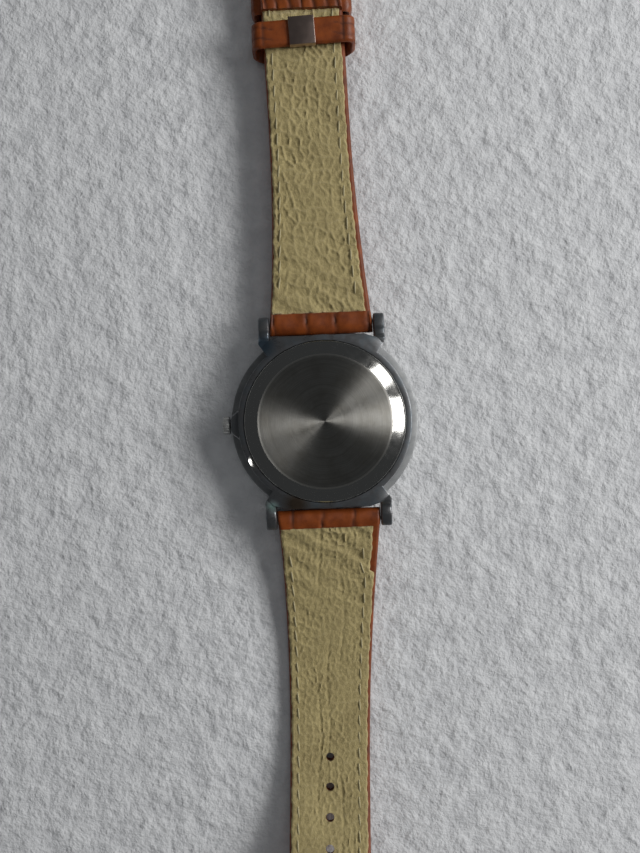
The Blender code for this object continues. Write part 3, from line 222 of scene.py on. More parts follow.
class Finish:
    """A material and short ways to add nodes to it."""

    def __init__(self, name, colour=(0.5, 0.5, 0.5), roughness=0.5, metallic=0.0, **sockets):
        self.material = bpy.data.materials.new(name)
        self.material.use_nodes = True
        self.tree = self.material.node_tree
        self.shader = self.tree.nodes["Principled BSDF"]
        self.set("Base Color", (*colour, 1))
        self.set("Roughness", roughness)
        self.set("Metallic", metallic)
        for socket, value in sockets.items():
            self.set(socket.replace("_", " "), value)

    def set(self, socket, value):
        self.shader.inputs[socket].default_value = value

    def node(self, kind, inputs=(), **settings):
        made = self.tree.nodes.new(kind)
        for key, value in settings.items():
            setattr(made, key, value)
        for key, value in dict(inputs).items():
            if isinstance(value, bpy.types.NodeSocket):
                self.tree.links.new(value, made.inputs[key])
            else:
                made.inputs[key].default_value = value
        return made

    def link(self, output, socket):
        self.tree.links.new(output, self.shader.inputs[socket])

    def place(self, scale=(1, 1, 1), source="Object", offset=(0, 0, 0)):
        """Coordinates in millimetres times scale."""
        coordinates = self.node("ShaderNodeTexCoord").outputs[source]
        size = tuple(1000 * k for k in scale) if source == "Object" else scale
        return self.node(
            "ShaderNodeMapping", {"Vector": coordinates, "Scale": size, "Location": offset}
        ).outputs["Vector"]

    def noise(self, where, scale, detail=3.0, rough=0.55):
        return self.node(
            "ShaderNodeTexNoise",
            {"Vector": where, "Scale": scale, "Detail": detail, "Roughness": rough},
        ).outputs["Fac"]

    def cells(self, where, scale, feature="DISTANCE_TO_EDGE", spread=0.85):
        made = self.node(
            "ShaderNodeTexVoronoi", {"Vector": where, "Scale": scale, "Randomness": spread}
        )
        made.feature = feature
        return made.outputs["Color" if feature == "F1" else "Distance"]

    def mix(self, share, a, b, kind="MIX"):
        made = self.tree.nodes.new("ShaderNodeMix")
        made.data_type = "RGBA"
        made.blend_type = kind
        made.clamp_factor = True
        for index, value in ((0, share), (6, a), (7, b)):
            if isinstance(value, bpy.types.NodeSocket):
                self.tree.links.new(value, made.inputs[index])
            else:
                made.inputs[index].default_value = (*value, 1) if isinstance(value, tuple) else value
        return made.outputs[2]

    def math(self, operation, a, b=0.0, clamp=False):
        made = self.node("ShaderNodeMath", operation=operation, use_clamp=clamp)
        for index, value in enumerate((a, b)):
            if isinstance(value, bpy.types.NodeSocket):
                self.tree.links.new(value, made.inputs[index])
            else:
                made.inputs[index].default_value = value
        return made.outputs[0]

    def span(self, value, low, high, new_low, new_high):
        return self.node(
            "ShaderNodeMapRange",
            {"Value": value, "From Min": low, "From Max": high, "To Min": new_low, "To Max": new_high},
        ).outputs["Result"]

    def bump(self, height, depth, strength=1.0, under=None):
        inputs = {"Height": height, "Distance": depth * MM, "Strength": strength}
        if under:
            inputs["Normal"] = under
        made = self.node("ShaderNodeBump", inputs).outputs["Normal"]
        self.link(made, "Normal")
        return made


def radial(f):
    """Distance from the watch's own axis, in millimetres."""
    parts = f.node("ShaderNodeSeparateXYZ", {"Vector": f.place()})
    x, y = parts.outputs["X"], parts.outputs["Y"]
    square = f.math("ADD", f.math("MULTIPLY", x, x), f.math("MULTIPLY", y, y))
    return f.math("SQRT", square)


def circular_brushed(name, colour, roughness, anisotropy, streak=1.7):
    """Steel turned on a lathe: rings of fine scratches, with a few coarse ones."""
    f = Finish(name, colour, roughness, 1.0, Anisotropic=anisotropy, Anisotropic_Rotation=0.25)
    f.link(f.node("ShaderNodeTangent", direction_type="RADIAL", axis="Z").outputs["Tangent"], "Tangent")
    r = radial(f)
    wobble = f.math("MULTIPLY", f.noise(f.place(), 0.25, 2.0), 0.7)
    ring_place = f.node("ShaderNodeCombineXYZ", {"X": f.math("ADD", r, wobble)}).outputs["Vector"]
    rings = f.noise(ring_place, streak, 6.0, 0.85)
    coarse = f.noise(f.node("ShaderNodeCombineXYZ", {"X": r, "Y": 7.0}).outputs["Vector"], 0.6, 2.0)
    stain = f.noise(f.place(), 0.35, 4.0, 0.6)
    light, dark = tuple(c * 1.15 for c in colour), tuple(c * 0.62 for c in colour)
    tone = f.mix(f.span(rings, 0.34, 0.66, 0.0, 1.0), light, dark)
    brown = tuple(c * k for c, k in zip(colour, (0.62, 0.6, 0.56)))
    tone = f.mix(f.span(stain, 0.42, 0.7, 0.0, 0.65), tone, brown)
    rim = f.math("ABSOLUTE", f.math("SUBTRACT", r, FLAT_R - 0.12))
    tone = f.mix(f.span(rim, 0.05, 0.3, 0.8, 0.0), tone, tuple(min(1.0, c * 1.7) for c in colour))
    f.link(tone, "Base Color")
    ring_rough = f.span(rings, 0.3, 0.7, roughness - 0.1, roughness + 0.11)
    rough = f.math("ADD", ring_rough, f.span(coarse, 0.3, 0.7, -0.03, 0.03))
    f.link(rough, "Roughness")
    f.bump(rings, 0.03, 0.8)
    return f.material


def worn_steel(name, colour, roughness, scratch=0.5, tint=(0.2, 0.24, 0.27), metallic=0.85, patina_and_shade=False):
    """Polished steel that has lost its shine in patches, with a bluish bloom where it's never touched."""
    f = Finish(name, colour, roughness, metallic)
    where = f.place()
    patches = f.noise(where, 0.45, 5.0, 0.65)
    fine = f.noise(f.place((1.0, 6.0, 1.0)), 1.4, 4.0, 0.7)
    speckle = f.noise(where, 6.0, 3.0, 0.6)
    tone = f.mix(f.span(patches, 0.42, 0.7, 0.0, 0.75), colour, tint)
    tone = f.mix(f.span(speckle, 0.58, 0.75, 0.0, 0.35), tone, tuple(c * 0.5 for c in colour))
    if patina_and_shade:
        # Verdigris where the strap's end sweats against one lug, and a brown bloom beside it. The dark
        # bluish patch on the upper-left lug is painted shade, where that lug lies in shadow.
        for centre, size, shade_of in (
            ((-9.7, -14.4, 6.9), 1.5, (0.22, 0.36, 0.33)),
            ((-5.6, -14.0, 7.3), 2.4, (0.14, 0.09, 0.05)),
            ((-10.2, 13.6, 7.0), 2.4, (0.10, 0.16, 0.22)),
        ):
            near = f.node(
                "ShaderNodeVectorMath", {0: where, 1: centre}, operation="DISTANCE"
            ).outputs["Value"]
            edge = f.math("ADD", near, f.math("MULTIPLY", speckle, 1.6))
            share = f.span(edge, size * 0.7, size * 1.5, 0.85, 0.0)
            tone = f.mix(share, tone, shade_of)
            if shade_of[1] > 0.3:
                f.link(f.math("SUBTRACT", metallic, share, True), "Metallic")
    f.link(tone, "Base Color")
    dull = f.span(patches, 0.35, 0.7, roughness - 0.06, roughness + 0.16)
    rough = f.math("ADD", dull, f.span(fine, 0.4, 0.7, 0.0, 0.1), True)
    f.link(rough, "Roughness")
    f.bump(f.math("ADD", fine, f.math("MULTIPLY", speckle, 0.4)), 0.004, scratch)
    return f.material


def polished_steel(name, colour=(0.6, 0.6, 0.59), roughness=0.1):
    f = Finish(name, colour, roughness, 1.0)
    where = f.place()
    smear = f.noise(where, 0.6, 4.0, 0.6)
    scuff = f.noise(f.place((1.0, 1.0, 0.3)), 9.0, 4.0, 0.75)
    f.link(f.span(smear, 0.3, 0.75, roughness, roughness + 0.1), "Roughness")
    f.link(f.mix(f.span(scuff, 0.6, 0.8, 0.0, 0.4), colour, tuple(c * 0.6 for c in colour)), "Base Color")
    f.bump(scuff, 0.002, 0.3)
    return f.material


def glossy_leather(name, dark, light, roughness=0.44):
    """Embossed calf with a worn glaze, paler where it rubs, and painted shade that darkens it in its
    creases.
    """
    f = Finish(name, light, roughness, 0.0, Coat_Weight=0.05, Coat_Roughness=0.3)
    where = f.place(source="UV")
    clouds = f.noise(where, 0.35, 5.0, 0.6)
    pores = f.cells(where, 5.0)
    fibre = f.noise(where, 9.0, 4.0, 0.7)
    hollow = f.node("ShaderNodeAttribute", attribute_name="hollow").outputs["Fac"]
    tone = f.mix(f.span(clouds, 0.32, 0.68, 0.0, 1.0), dark, light)
    tone = f.mix(f.span(fibre, 0.35, 0.75, 0.0, 0.28), tone, tuple(min(1.0, c * 1.6) for c in light))
    # Painted shade: the deeper a point lies in a crease, the darker its colour.
    tone = f.mix(f.span(hollow, 0.15, 1.0, 0.0, 0.85), tone, tuple(c * 0.28 for c in dark))
    f.link(tone, "Base Color")
    rough = f.span(fibre, 0.3, 0.7, roughness - 0.06, roughness + 0.16)
    f.link(f.math("ADD", rough, f.math("MULTIPLY", hollow, 0.35), True), "Roughness")
    height = f.math("ADD", f.math("MULTIPLY", pores, 0.8), f.math("MULTIPLY", fibre, 0.5))
    f.bump(height, 0.05, 0.45)
    return f.material


def pebbled_lining(name):
    """Bare, sweat-stained lining leather with a soft grain, painted shade in its hollows and stitch holes,
    and a painted highlight on its ridges.
    """
    f = Finish(name, (0.4, 0.33, 0.16), 0.75, 0.0, Sheen_Weight=0.15)
    where = f.place(source="UV")
    drift = f.node("ShaderNodeTexNoise", {"Vector": where, "Scale": 0.9}).outputs["Color"]
    moved = f.mix(1.0, (0.0, 0.0, 0.0), drift)
    warped = f.node("ShaderNodeVectorMath", {0: where, 1: moved}, operation="ADD").outputs["Vector"]
    long_cells = f.node("ShaderNodeMapping", {"Vector": warped, "Scale": (1.0, 0.7, 1.0)})
    fine = f.cells(long_cells.outputs["Vector"], 1.9)
    fibre = f.noise(where, 7.0, 5.0, 0.7)
    stain = f.noise(where, 0.16, 4.0, 0.6)
    hollow = f.node("ShaderNodeAttribute", attribute_name="hollow").outputs["Fac"]
    tone = f.mix(f.span(stain, 0.35, 0.68, 0.0, 1.0), (0.5, 0.405, 0.178), (0.375, 0.295, 0.125))
    tone = f.mix(f.span(fine, 0.0, 0.1, 0.25, 0.0), tone, (0.26, 0.2, 0.08))
    tone = f.mix(f.span(fibre, 0.38, 0.68, 0.0, 0.5), tone, (0.62, 0.51, 0.25))
    # Painted shade where the grain and the stitches sink in; then a painted highlight on the grain's
    # ridges, which also paints the pale raw edges.
    tone = f.mix(f.span(hollow, 0.15, 1.0, 0.0, 0.75), tone, (0.15, 0.11, 0.045))
    tone = f.mix(f.span(hollow, -0.1, -0.7, 0.0, 0.6), tone, (0.6, 0.5, 0.28))
    f.link(tone, "Base Color")
    pebbles = f.math("MULTIPLY", f.span(fine, 0.0, 0.2, 0.0, 1.0), 0.3)
    height = f.math("ADD", pebbles, f.math("MULTIPLY", fibre, 0.45))
    f.bump(height, 0.11, 0.8)
    return f.material


def thread(name, colour):
    f = Finish(name, colour, 0.7, 0.0, Sheen_Weight=0.2)
    twist = f.node("ShaderNodeTexWave", {"Vector": f.place((1, 1, 1)), "Scale": 3.2, "Distortion": 1.0})
    twist.bands_direction = "DIAGONAL"
    share = f.span(twist.outputs["Fac"], 0.2, 0.9, 0.0, 0.6)
    f.link(f.mix(share, colour, tuple(c * 0.5 for c in colour)), "Base Color")
    f.bump(twist.outputs["Fac"], 0.03, 0.6)
    return f.material


def plated(name, colour, roughness=0.3, stripe=0.0):
    """A movement part: fine grained, or with broad stripes."""
    f = Finish(name, colour, roughness, 1.0)
    grain = f.noise(f.place((0.4, 3.0, 1.0)), 3.0, 4.0, 0.7)
    f.link(f.mix(f.span(grain, 0.35, 0.7, 0.0, 0.4), colour, tuple(c * 0.7 for c in colour)), "Base Color")
    if stripe:
        bands = f.node("ShaderNodeTexWave", {"Vector": f.place(), "Scale": stripe})
        f.link(f.span(bands.outputs["Fac"], 0.0, 1.0, roughness - 0.1, roughness + 0.12), "Roughness")
        f.bump(bands.outputs["Fac"], 0.02, 0.4)
    else:
        f.link(f.span(grain, 0.3, 0.7, roughness - 0.08, roughness + 0.1), "Roughness")
        f.bump(grain, 0.003, 0.4)
    return f.material


def dial_paint():
    f = Finish("dial_paint", (0.7, 0.69, 0.64), 0.35, 0.35)
    grain = f.noise(f.place(), 5.0, 4.0, 0.7)
    age = f.noise(f.place(), 0.25, 4.0, 0.6)
    f.link(f.mix(f.span(age, 0.4, 0.75, 0.0, 0.5), (0.72, 0.71, 0.66), (0.6, 0.55, 0.42)), "Base Color")
    f.bump(grain, 0.004, 0.3)
    return f.material


def clear_crystal():
    f = Finish("clear_crystal", (0.95, 0.97, 0.97), 0.03, 0.0, Transmission_Weight=0.95, IOR=1.49)
    scratch = f.noise(f.place((1, 1, 4)), 2.0, 6.0, 0.8)
    f.link(f.span(scratch, 0.55, 0.8, 0.03, 0.16), "Roughness")
    f.bump(scratch, 0.002, 0.3)
    return f.material


def matte(name, colour, roughness=0.7):
    f = Finish(name, colour, roughness)
    grain = f.noise(f.place(), 4.0, 4.0, 0.7)
    f.link(f.mix(f.span(grain, 0.3, 0.7, 0.0, 0.5), colour, tuple(c * 0.6 for c in colour)), "Base Color")
    f.bump(grain, 0.02, 0.4)
    return f.material


BACK_BRUSHED = circular_brushed("back_brushed", (0.52, 0.505, 0.465), 0.38, 0.87)
BACK_POLISHED = polished_steel("back_polished", (0.6, 0.59, 0.56), 0.09)
SCOOP_STEEL = polished_steel("scoop_steel", (0.6, 0.59, 0.56), 0.24)
BEZEL_STEEL = worn_steel("bezel_steel", (0.38, 0.385, 0.385), 0.5, 0.4, (0.28, 0.29, 0.295), 0.6)
CASE_STEEL = worn_steel(
    "case_steel", (0.29, 0.29, 0.295), 0.32, tint=(0.13, 0.165, 0.19), metallic=0.93, patina_and_shade=True
)
CROWN_STEEL = worn_steel("crown_steel", (0.62, 0.62, 0.6), 0.3, 0.3, (0.4, 0.4, 0.4), 0.7)
CLIP_STEEL = polished_steel("clip_steel", (0.5, 0.38, 0.33), 0.3)
BUCKLE_STEEL = polished_steel("buckle_steel", (0.55, 0.55, 0.54), 0.24)
LEATHER = glossy_leather("outer_leather", (0.11, 0.021, 0.004), (0.31, 0.07, 0.01), 0.4)
LINING_LEATHER = pebbled_lining("lining_leather")
LINING_THREAD = thread("lining_thread", (0.6, 0.52, 0.29))
OUTER_THREAD = thread("outer_thread", (0.30, 0.12, 0.05))
BY_SLOT = {
    "steel": BUCKLE_STEEL,
    "brushed_steel": BACK_BRUSHED,
    "spring_steel": plated("spring_steel", (0.5, 0.5, 0.5), 0.25),
    "brass": plated("gilt_brass", (0.75, 0.55, 0.26), 0.28),
    "nickel": plated("striped_nickel", (0.66, 0.64, 0.6), 0.3, 0.45),
    "blued_steel": plated("blued", (0.04, 0.07, 0.25), 0.22),
    "crystal": clear_crystal(),
    "dial": dial_paint(),
    "gasket": matte("gasket_rubber", (0.03, 0.03, 0.03)),
    "outer_leather": LEATHER,
    "lining_leather": LINING_LEATHER,
    "padding": matte("felt", (0.5, 0.45, 0.35), 0.9),
}


def dress_nodes():
    """Every CAD node takes the finish of its slot."""
    slots = {entry["node"]: entry["material_slot"] for entry in frame["record"]["subparts"]}
    for name, node in NODES.items():
        for index in range(len(node.data.materials)):
            node.data.materials[index] = BY_SLOT[slots[name]]


# ---------------------------------------------------------------- case


def mid_case():
    body = lathe(
        "case_middle",
        [
            (0, PLATE_TOP), (CASE_R - 0.3, PLATE_TOP), (CASE_R - 0.08, PLATE_TOP - 0.08),
            (CASE_R, PLATE_TOP - 0.3), (CASE_R, CASE_FLOOR), (14.3, CASE_FLOOR), (14.3, 2.45), (0, 2.45),
        ],
        CASE_STEEL,
    )
    pieces = []
    for side in (1, -1):
        half = [(8.85, 10.6), (10.55, 13.1), (9.5, 14.2), (7.3, 14.95)]
        outline = [(x, side * y) for x, y in half] + [(-x, side * y) for x, y in reversed(half)]
        shoulder = prism(f"shoulder_{side}", outline, CASE_FLOOR + 0.04, PLATE_TOP - 0.004, CASE_STEEL)
        pieces.append(applied(round_edges(shoulder, 0.12, 2)))
    tip = 18.6
    outline = [
        (tip - 7.0, 3.5), (tip - 4.7, 3.3), (tip - 2.9, 2.9), (tip - 1.2, 3.5), (tip - 0.45, 4.1),
        (tip - 0.08, 4.8), (tip, 5.4), (tip - 0.12, 5.8), (tip - 0.45, 6.1), (tip - 2.1, 6.72),
        (tip - 2.45, 6.7), (tip - 3.0, 6.4), (tip - 3.7, 6.45), (tip - 4.4, 7.15), (tip - 7.0, 7.2),
    ]
    for side_x in (1, -1):
        for side_y in (1, -1):
            place = Matrix(((0, 0, 1, 0), (side_y, 0, 0, 0), (0, 1, 0, 0), (0, 0, 0, 1)))
            middle = side_x * 10.05
            made = prism(f"lug_{side_x}_{side_y}", outline, middle - 0.95, middle + 0.95, CASE_STEEL, place)
            face_out(made.data)
            applied(round_edges(made, 0.32, 3, 32))
            corner = [(8.7, 10.38), (11.4, 14.35), (13.0, 14.35), (13.0, 10.38)]
            slant = prism("slant", [(side_x * x, side_y * y) for x, y in corner], 0, 9, None)
            pieces.append(boolean(made, "DIFFERENCE", [slant]))
    flank = [(-14.2, 2.75), (-15.05, 2.5), (-15.6, 2.05), (-16.05, 1.7), (-16.35, 1.2)]
    boss = prism("boss", [(x, -y) for x, y in flank] + flank[::-1], 3.25, 6.7, CASE_STEEL)
    pieces.append(applied(round_edges(boss, 0.35, 3)))
    boolean(body, "UNION", pieces)
    bore = lathe(
        "case_bore",
        [
            (0, 8), (BACK_R + 0.1, 8), (BACK_R + 0.1, 6.5), (13.2, 6.5),
            (13.2, 3.15), (12.4, 3.15), (12.4, 2), (0, 2),
        ],
        None,
    )
    angle = math.radians(207)
    scoop = (13.62 * math.cos(angle), 13.62 * math.sin(angle), 9.0)
    profile = [(2.2 * math.cos(a), 2.2 * math.sin(a)) for a in np.radians(np.linspace(-90, 90, 33))]
    profile[0], profile[-1] = (0, -2.2), (0, 2.2)
    notch = lathe("pry_notch", profile, None, 48, Matrix.Translation(Vector(scoop) * MM))
    holes = []
    for side in (1, -1):
        place = along_x(-10.7, side * BAR_Y, BAR_Z)
        holes.append(prism(f"bar_hole_{side}", arc(0.42, 0, 360, 20)[:-1], 0, 21.4, None, place))
    tube = prism("tube_hole", arc(0.85, 0, 360, 28)[:-1], 0, 5, None, along_x(-17, 0, STEM_Z))
    boolean(body, "DIFFERENCE", [bore, notch, tube, *holes])
    shade(body.data, 28)
    body.data.materials.append(SCOOP_STEEL)
    for face in body.data.polygons:
        # The faces that the ball left.
        if abs((face.center - Vector(scoop) * MM).length - 2.2 * MM) < 0.03 * MM:
            face.material_index = 1
    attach(body, "case")
    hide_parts("mid_case")


def bezel():
    made = lathe(
        "bezel_ring",
        [
            (13.65, 0.85), (13.72, 0.75), (14.1, 0.62), (14.35, 0.63), (15.0, 0.85), (15.7, 1.2),
            (16.2, 1.65), (16.5, 2.15), (BEZEL_R, 2.5), (BEZEL_R, 2.82), (BEZEL_R - 0.07, 3.02),
            (BEZEL_R - 0.25, 3.12), (14.36, 3.12), (14.36, 2.42), (13.65, 2.42),
        ],
        BEZEL_STEEL,
    )
    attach(made, "case")
    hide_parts("bezel")


def case_back():
    made = lathe(
        "back_cover",
        [
            (0, BACK_TOP), (3.0, BACK_TOP), (FLAT_R - 0.12, BACK_TOP), (FLAT_R, BACK_TOP - 0.02),
            (FLAT_R + 0.12, BACK_TOP - 0.07), (FLAT_R + 0.3, BACK_TOP - 0.16), (12.6, 8.24), (13.3, 7.86),
            (13.62, 7.66), (13.85, 7.52), (13.97, 7.4), (BACK_R, 7.25), (BACK_R, 6.9), (13.1, 6.9),
            (13.0, 6.3), (12.6, 6.3), (12.6, 7.3), (11.2, 8.0), (0, 8.0),
        ],
        BACK_BRUSHED,
        192,
    )
    made.data.materials.append(BACK_POLISHED)
    for face in made.data.polygons:
        face.material_index = 0 if face.normal.z > 0.98 and face.center.z > 8.7 * MM else 1
    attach(made, "case")
    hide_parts("case_back")


def crown():
    """A knurled crown with rounded rims."""
    teeth, per, rings = 22, 8, []
    profile = (
        (0.42, 0.0), (1.45, 0.0), (1.6, -0.14), (1.6, -1.0),
        (1.5, -1.14), (1.25, -1.2), (0.6, -1.17), (0.42, -1.1),
    )
    for radius, z in profile:
        ring = []
        for i in range(teeth * per):
            wave = math.cos(TURN * i / per)
            groove = 0.1 * max(0.0, -wave) ** 0.6 if radius > 1.3 else 0.0
            angle = TURN * i / (teeth * per)
            reach = radius - groove
            ring.append((reach * math.cos(angle), reach * math.sin(angle), z))
        rings.append(ring)
    points = [p for ring in rings for p in ring]
    mesh = mesh_from("crown_knob", points, tube_faces(len(rings), teeth * per, True))
    made = add("crown_knob", mesh, CROWN_STEEL)
    made.data.transform(along_x(-16.65, 0, STEM_Z))
    shade(made.data, 40)
    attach(made, "crown")
    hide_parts("crown")


# ---------------------------------------------------------------- strap


class Strap:
    """The curve a strap piece follows, as the CAD has it. s runs along it, n through it."""

    def __init__(self, side, bends, length, taper, drift):
        self.side, self.length, self.taper, self.drift = side, length, taper, drift
        self.stops = np.arange(-3.0, length + 4.0, 0.25)
        slopes = np.radians(np.interp(self.stops, [b[0] for b in bends], [b[1] for b in bends]))
        self.slopes = slopes
        middle = (slopes[1:] + slopes[:-1]) / 2
        out = np.concatenate([[0], np.cumsum(np.cos(middle) * 0.25)])
        up = np.concatenate([[0], np.cumsum(np.sin(middle) * 0.25)])
        zero = int(np.argmin(abs(self.stops)))
        self.out, self.up = out - out[zero], up - up[zero]

    def heading(self, s):
        return np.interp(s, self.stops, self.slopes)

    def sideways(self, s):
        s = np.maximum(s, 0.0)
        return self.drift * s * s / (s + 10.0)

    def point(self, s, x, n):
        angle = self.heading(s)
        out, up = np.interp(s, self.stops, self.out), np.interp(s, self.stops, self.up)
        return np.stack(
            [
                x + self.sideways(s),
                self.side * (BAR_Y + out - n * np.sin(angle)),
                BAR_Z + up + n * np.cos(angle),
            ],
            -1,
        )

    def half_width(self, s):
        share = np.clip(1 - np.maximum(s, 0) / self.taper, 0, 1) ** 2
        half = (14.3 + 3.7 * share) / 2
        if self.side < 0:
            left = np.clip((self.length - s) / 7.0, 0, 1)
            half = half * np.sqrt(np.maximum(1 - (1 - left) ** 2, 0.003))
        return half

    def half_thickness(self, s):
        return LUG_HALF + (TIP_HALF - LUG_HALF) * smooth(s / 25.0)


SHORT = Strap(1, [(0, 0), (SHORT_LENGTH, 0)], SHORT_LENGTH, 36.0, -0.023)
LONG = Strap(-1, [(0, -14.2), (30, 0), (45, 8), (62, 24), (100, 44)], LONG_LENGTH, 44.0, -0.045)


def reptile(s, x, half, seed):
    """Depth of the creases between embossed scales, from 0 to 1, at s along and x across."""
    across = x / half
    edges = np.array([-2.0, -0.86, -0.6, -0.24, 0.24, 0.6, 0.86, 2.0])
    wobble = 0.02 * np.sin(s * 0.9 + 3 * across) + 0.015 * np.sin(s * 2.3 + seed)
    column = np.clip(np.searchsorted(edges, across + wobble) - 1, 0, 6)
    low, high = edges[column], edges[column + 1]
    to_side = np.minimum(abs(across + wobble - low), abs(high - across - wobble)) * half
    pitch = np.where(abs(column - 3) <= 1, 4.6, np.where(abs(column - 3) == 2, 3.2, 2.3))
    along = s / pitch + noise(column, 0, seed) + 0.09 * np.sin(x * 1.7 + seed) + 0.05 * np.sin(x * 4.1)
    row = np.floor(along)
    to_row = np.minimum(along - row, row + 1 - along) * pitch
    near = np.minimum(to_side, to_row)
    return np.exp(-((near / 0.26) ** 2)) * (0.75 + 0.25 * noise(row, column, seed))


def fold_creases(side, s, x):
    """Creases of the turned ends, which run along the strap: a few at the lugs, and many on the flap."""
    wavy = x + 0.12 * np.sin(s * 1.9 + 1.0)
    near = np.min([abs(wavy - at) for at in FOLD_CREASES[side]], axis=0)
    place = wavy / 2.15 + 0.1 * np.sin(x * 1.3)
    close = abs(place - np.round(place)) * 2.15
    return np.where(s < 20, np.exp(-((near / 0.24) ** 2)), np.exp(-((close / 0.26) ** 2)))


def shares(count, rim=5):
    """Places across the strap from -1 to 1, closer together at the rims."""
    inner = np.linspace(-0.93, 0.93, count)
    rims = 1 - 0.07 * (np.arange(rim) / rim) ** 2
    return np.concatenate([-rims, inner, rims[::-1]])


def leather_rows(strap):
    start = -LUG_NOSE + np.array([0.0, 0.03, 0.1, 0.22, 0.4, 0.65, 0.95, 1.3, 1.65])
    if strap.side > 0:
        end = strap.length + BUCKLE_FOLD - np.array([1.25, 0.95, 0.65, 0.4, 0.22, 0.1, 0.03, 0.0])
    else:
        end = strap.length - np.array([1.2, 0.8, 0.5, 0.28, 0.12, 0.04, 0.0])
    middle = np.arange(start[-1] + 0.36, end[0] - 0.3, 0.42)
    rows = np.concatenate([start, middle, end])
    begin = LINING_START[strap.side]
    extra = [begin, begin + 0.08]
    if strap.side > 0:
        extra += [FLAP_START - 0.35, FLAP_START - 0.25]
    return np.unique(np.round(np.concatenate([rows, extra]), 3))


def leather_levels(strap, s):
    """(bottom, top) of the leather at s, before its edges are rounded."""
    half = strap.half_thickness(s)
    fold = LUG_HALF * np.sqrt(np.maximum(1 - (np.minimum(s, 0) / LUG_NOSE) ** 2, 1e-4))
    bottom, top = -half, half - LINING + 0.05
    bottom = np.where(s < 0, -fold, bottom)
    top = np.where(s < LINING_START[strap.side] + 0.04, fold, top)
    if strap.side > 0:
        top = np.where(s > FLAP_START - 0.3, BUCKLE_BAR_N + BUCKLE_FOLD, top)
        past = np.maximum(s - strap.length, 0.0)
        wrap = np.sqrt(np.maximum(BUCKLE_FOLD**2 - past**2, 1e-4))
        top = np.where(past > 0, BUCKLE_BAR_N + wrap, top)
        bottom = np.where(past > 0, BUCKLE_BAR_N - wrap, bottom)
    return bottom, top


def leather(name, strap):
    """The outer leather and what it holds: scales below, folds at its ends, and a rim beside the lining."""
    rows, across = leather_rows(strap), shares(41)
    s, share = np.meshgrid(rows, across, indexing="ij")
    half = strap.half_width(s)
    x = share * half
    bottom, top = leather_levels(strap, s)
    middle = top * 0.45 + bottom * 0.55
    dome = 0.75 * smooth((s - 1.5) / 5.0) * np.clip((abs(share) - 0.68) / 0.32, 0, 1) ** 1.6
    if strap.side > 0:
        dome = dome * (1 - smooth((s - 58.5) / 5.0))
    pattern = reptile(s, x, half, strap.side + 2.0)
    bottom = bottom + dome
    middle = np.clip(middle, bottom + 0.02, top)
    # Rims: both faces curve to meet at the strap's edge.
    radius = np.minimum(0.5, half * 0.5)
    reach = np.clip((abs(x) - (half - radius)) / radius, 0, 1)
    close = 1 - np.sqrt(1 - np.minimum(reach, 1.0) ** 2)
    low = bottom + (middle - bottom) * close
    high = top + (middle - top) * close
    # Creases cut into the leather, less towards the ends of the folds and the rims.
    fade = (1 - 0.6 * reach) * smooth((s + 1.2) / 1.0)
    low = low + 0.17 * pattern * fade
    turned_crease = fold_creases(strap.side, s, x)
    on_fold = (s < LINING_START[strap.side] + 0.04) | ((strap.side > 0) & (s > FLAP_START - 0.3))
    sag = 0.05 * np.sin(x * 1.1 + s * 0.8) + 0.02 * np.sin(x * 2.3 - s * 1.3)
    high = high - np.where(on_fold, (0.24 * turned_crease + sag) * (1 - reach), 0.0)
    count = len(across)
    lower = strap.point(s, x, low)
    upper = strap.point(s, x, high)
    rings = np.concatenate([lower, upper[:, ::-1][:, 1:-1]], axis=1)
    sides = rings.shape[1]
    mesh = bpy.data.meshes.new(name)
    faces = tube_faces(len(rows), sides)
    mesh.from_pydata([tuple(p) for p in rings.reshape(-1, 3) * MM], [], faces)
    # How deep each point lies in a crease, which the leather's material paints as shade. Off the folds the
    # upper face is a little darker throughout.
    above = np.where(on_fold, turned_crease, 0.3)
    hollow = np.concatenate([pattern * fade, above[:, ::-1][:, 1:-1]], axis=1)
    flat_x = np.concatenate([x, x[:, ::-1][:, 1:-1] + 40.0], axis=1)
    flat_s = np.concatenate([s, s[:, 1:-1]], axis=1)
    paint(mesh, hollow, flat_x, flat_s)
    face_out(mesh)
    made = add(name, mesh, LEATHER)
    shade(mesh, 50)
    return made


def paint(mesh, hollow, x, s):
    """Stores how deep each point lies, and its place on the flat strap as a UV, in millimetres."""
    depth = mesh.attributes.new("hollow", "FLOAT", "POINT")
    depth.data.foreach_set("value", np.asarray(hollow, np.float32).reshape(-1))
    flat = np.stack([np.asarray(x).reshape(-1), np.asarray(s).reshape(-1)], -1)
    layer = mesh.uv_layers.new(name="flat")
    corners = np.zeros(len(mesh.loops), np.int32)
    mesh.loops.foreach_get("vertex_index", corners)
    layer.data.foreach_set("uv", flat[corners].astype(np.float32).reshape(-1))


def grain(x, s, wide, long, seed):
    """The lining's grain, in cells about wide by long: 0 on the ridges round them and 1 inside."""
    u = x / wide + 0.16 * np.sin(s * 0.7 + seed) + 0.07 * np.sin(s * 1.9)
    v = s / long + 0.2 * np.sin(x * 1.1 + seed)
    i, j = np.floor(u), np.floor(v)
    first = np.full(u.shape, 9.0)
    second = np.full(u.shape, 9.0)
    for di in (-1, 0, 1):
        for dj in (-1, 0, 1):
            a, b = i + di, j + dj
            du = a + 0.5 + 0.75 * (noise(a, b, seed) - 0.5) - u
            dv = b + 0.5 + 0.75 * (noise(a, b, seed + 5) - 0.5) - v
            d = np.sqrt(du * du + dv * dv)
            nearer = d < first
            second = np.where(nearer, first, np.minimum(second, d))
            first = np.where(nearer, d, first)
    return np.clip((second - first) / 0.34, 0, 1) ** 0.8


def lining_edge(strap, s, side):
    """Where the lining ends across the strap. It was glued on nearer the left edge than the right."""
    half = strap.half_width(s)
    if side < 0:
        return -(half - 0.32)
    if strap.side < 0:
        return half - 0.52 - 0.7 * (1 - smooth((s - 9.3) / 0.5))
    return half - 0.6 - 0.36 * np.clip(1 - s / 50, 0, 1)


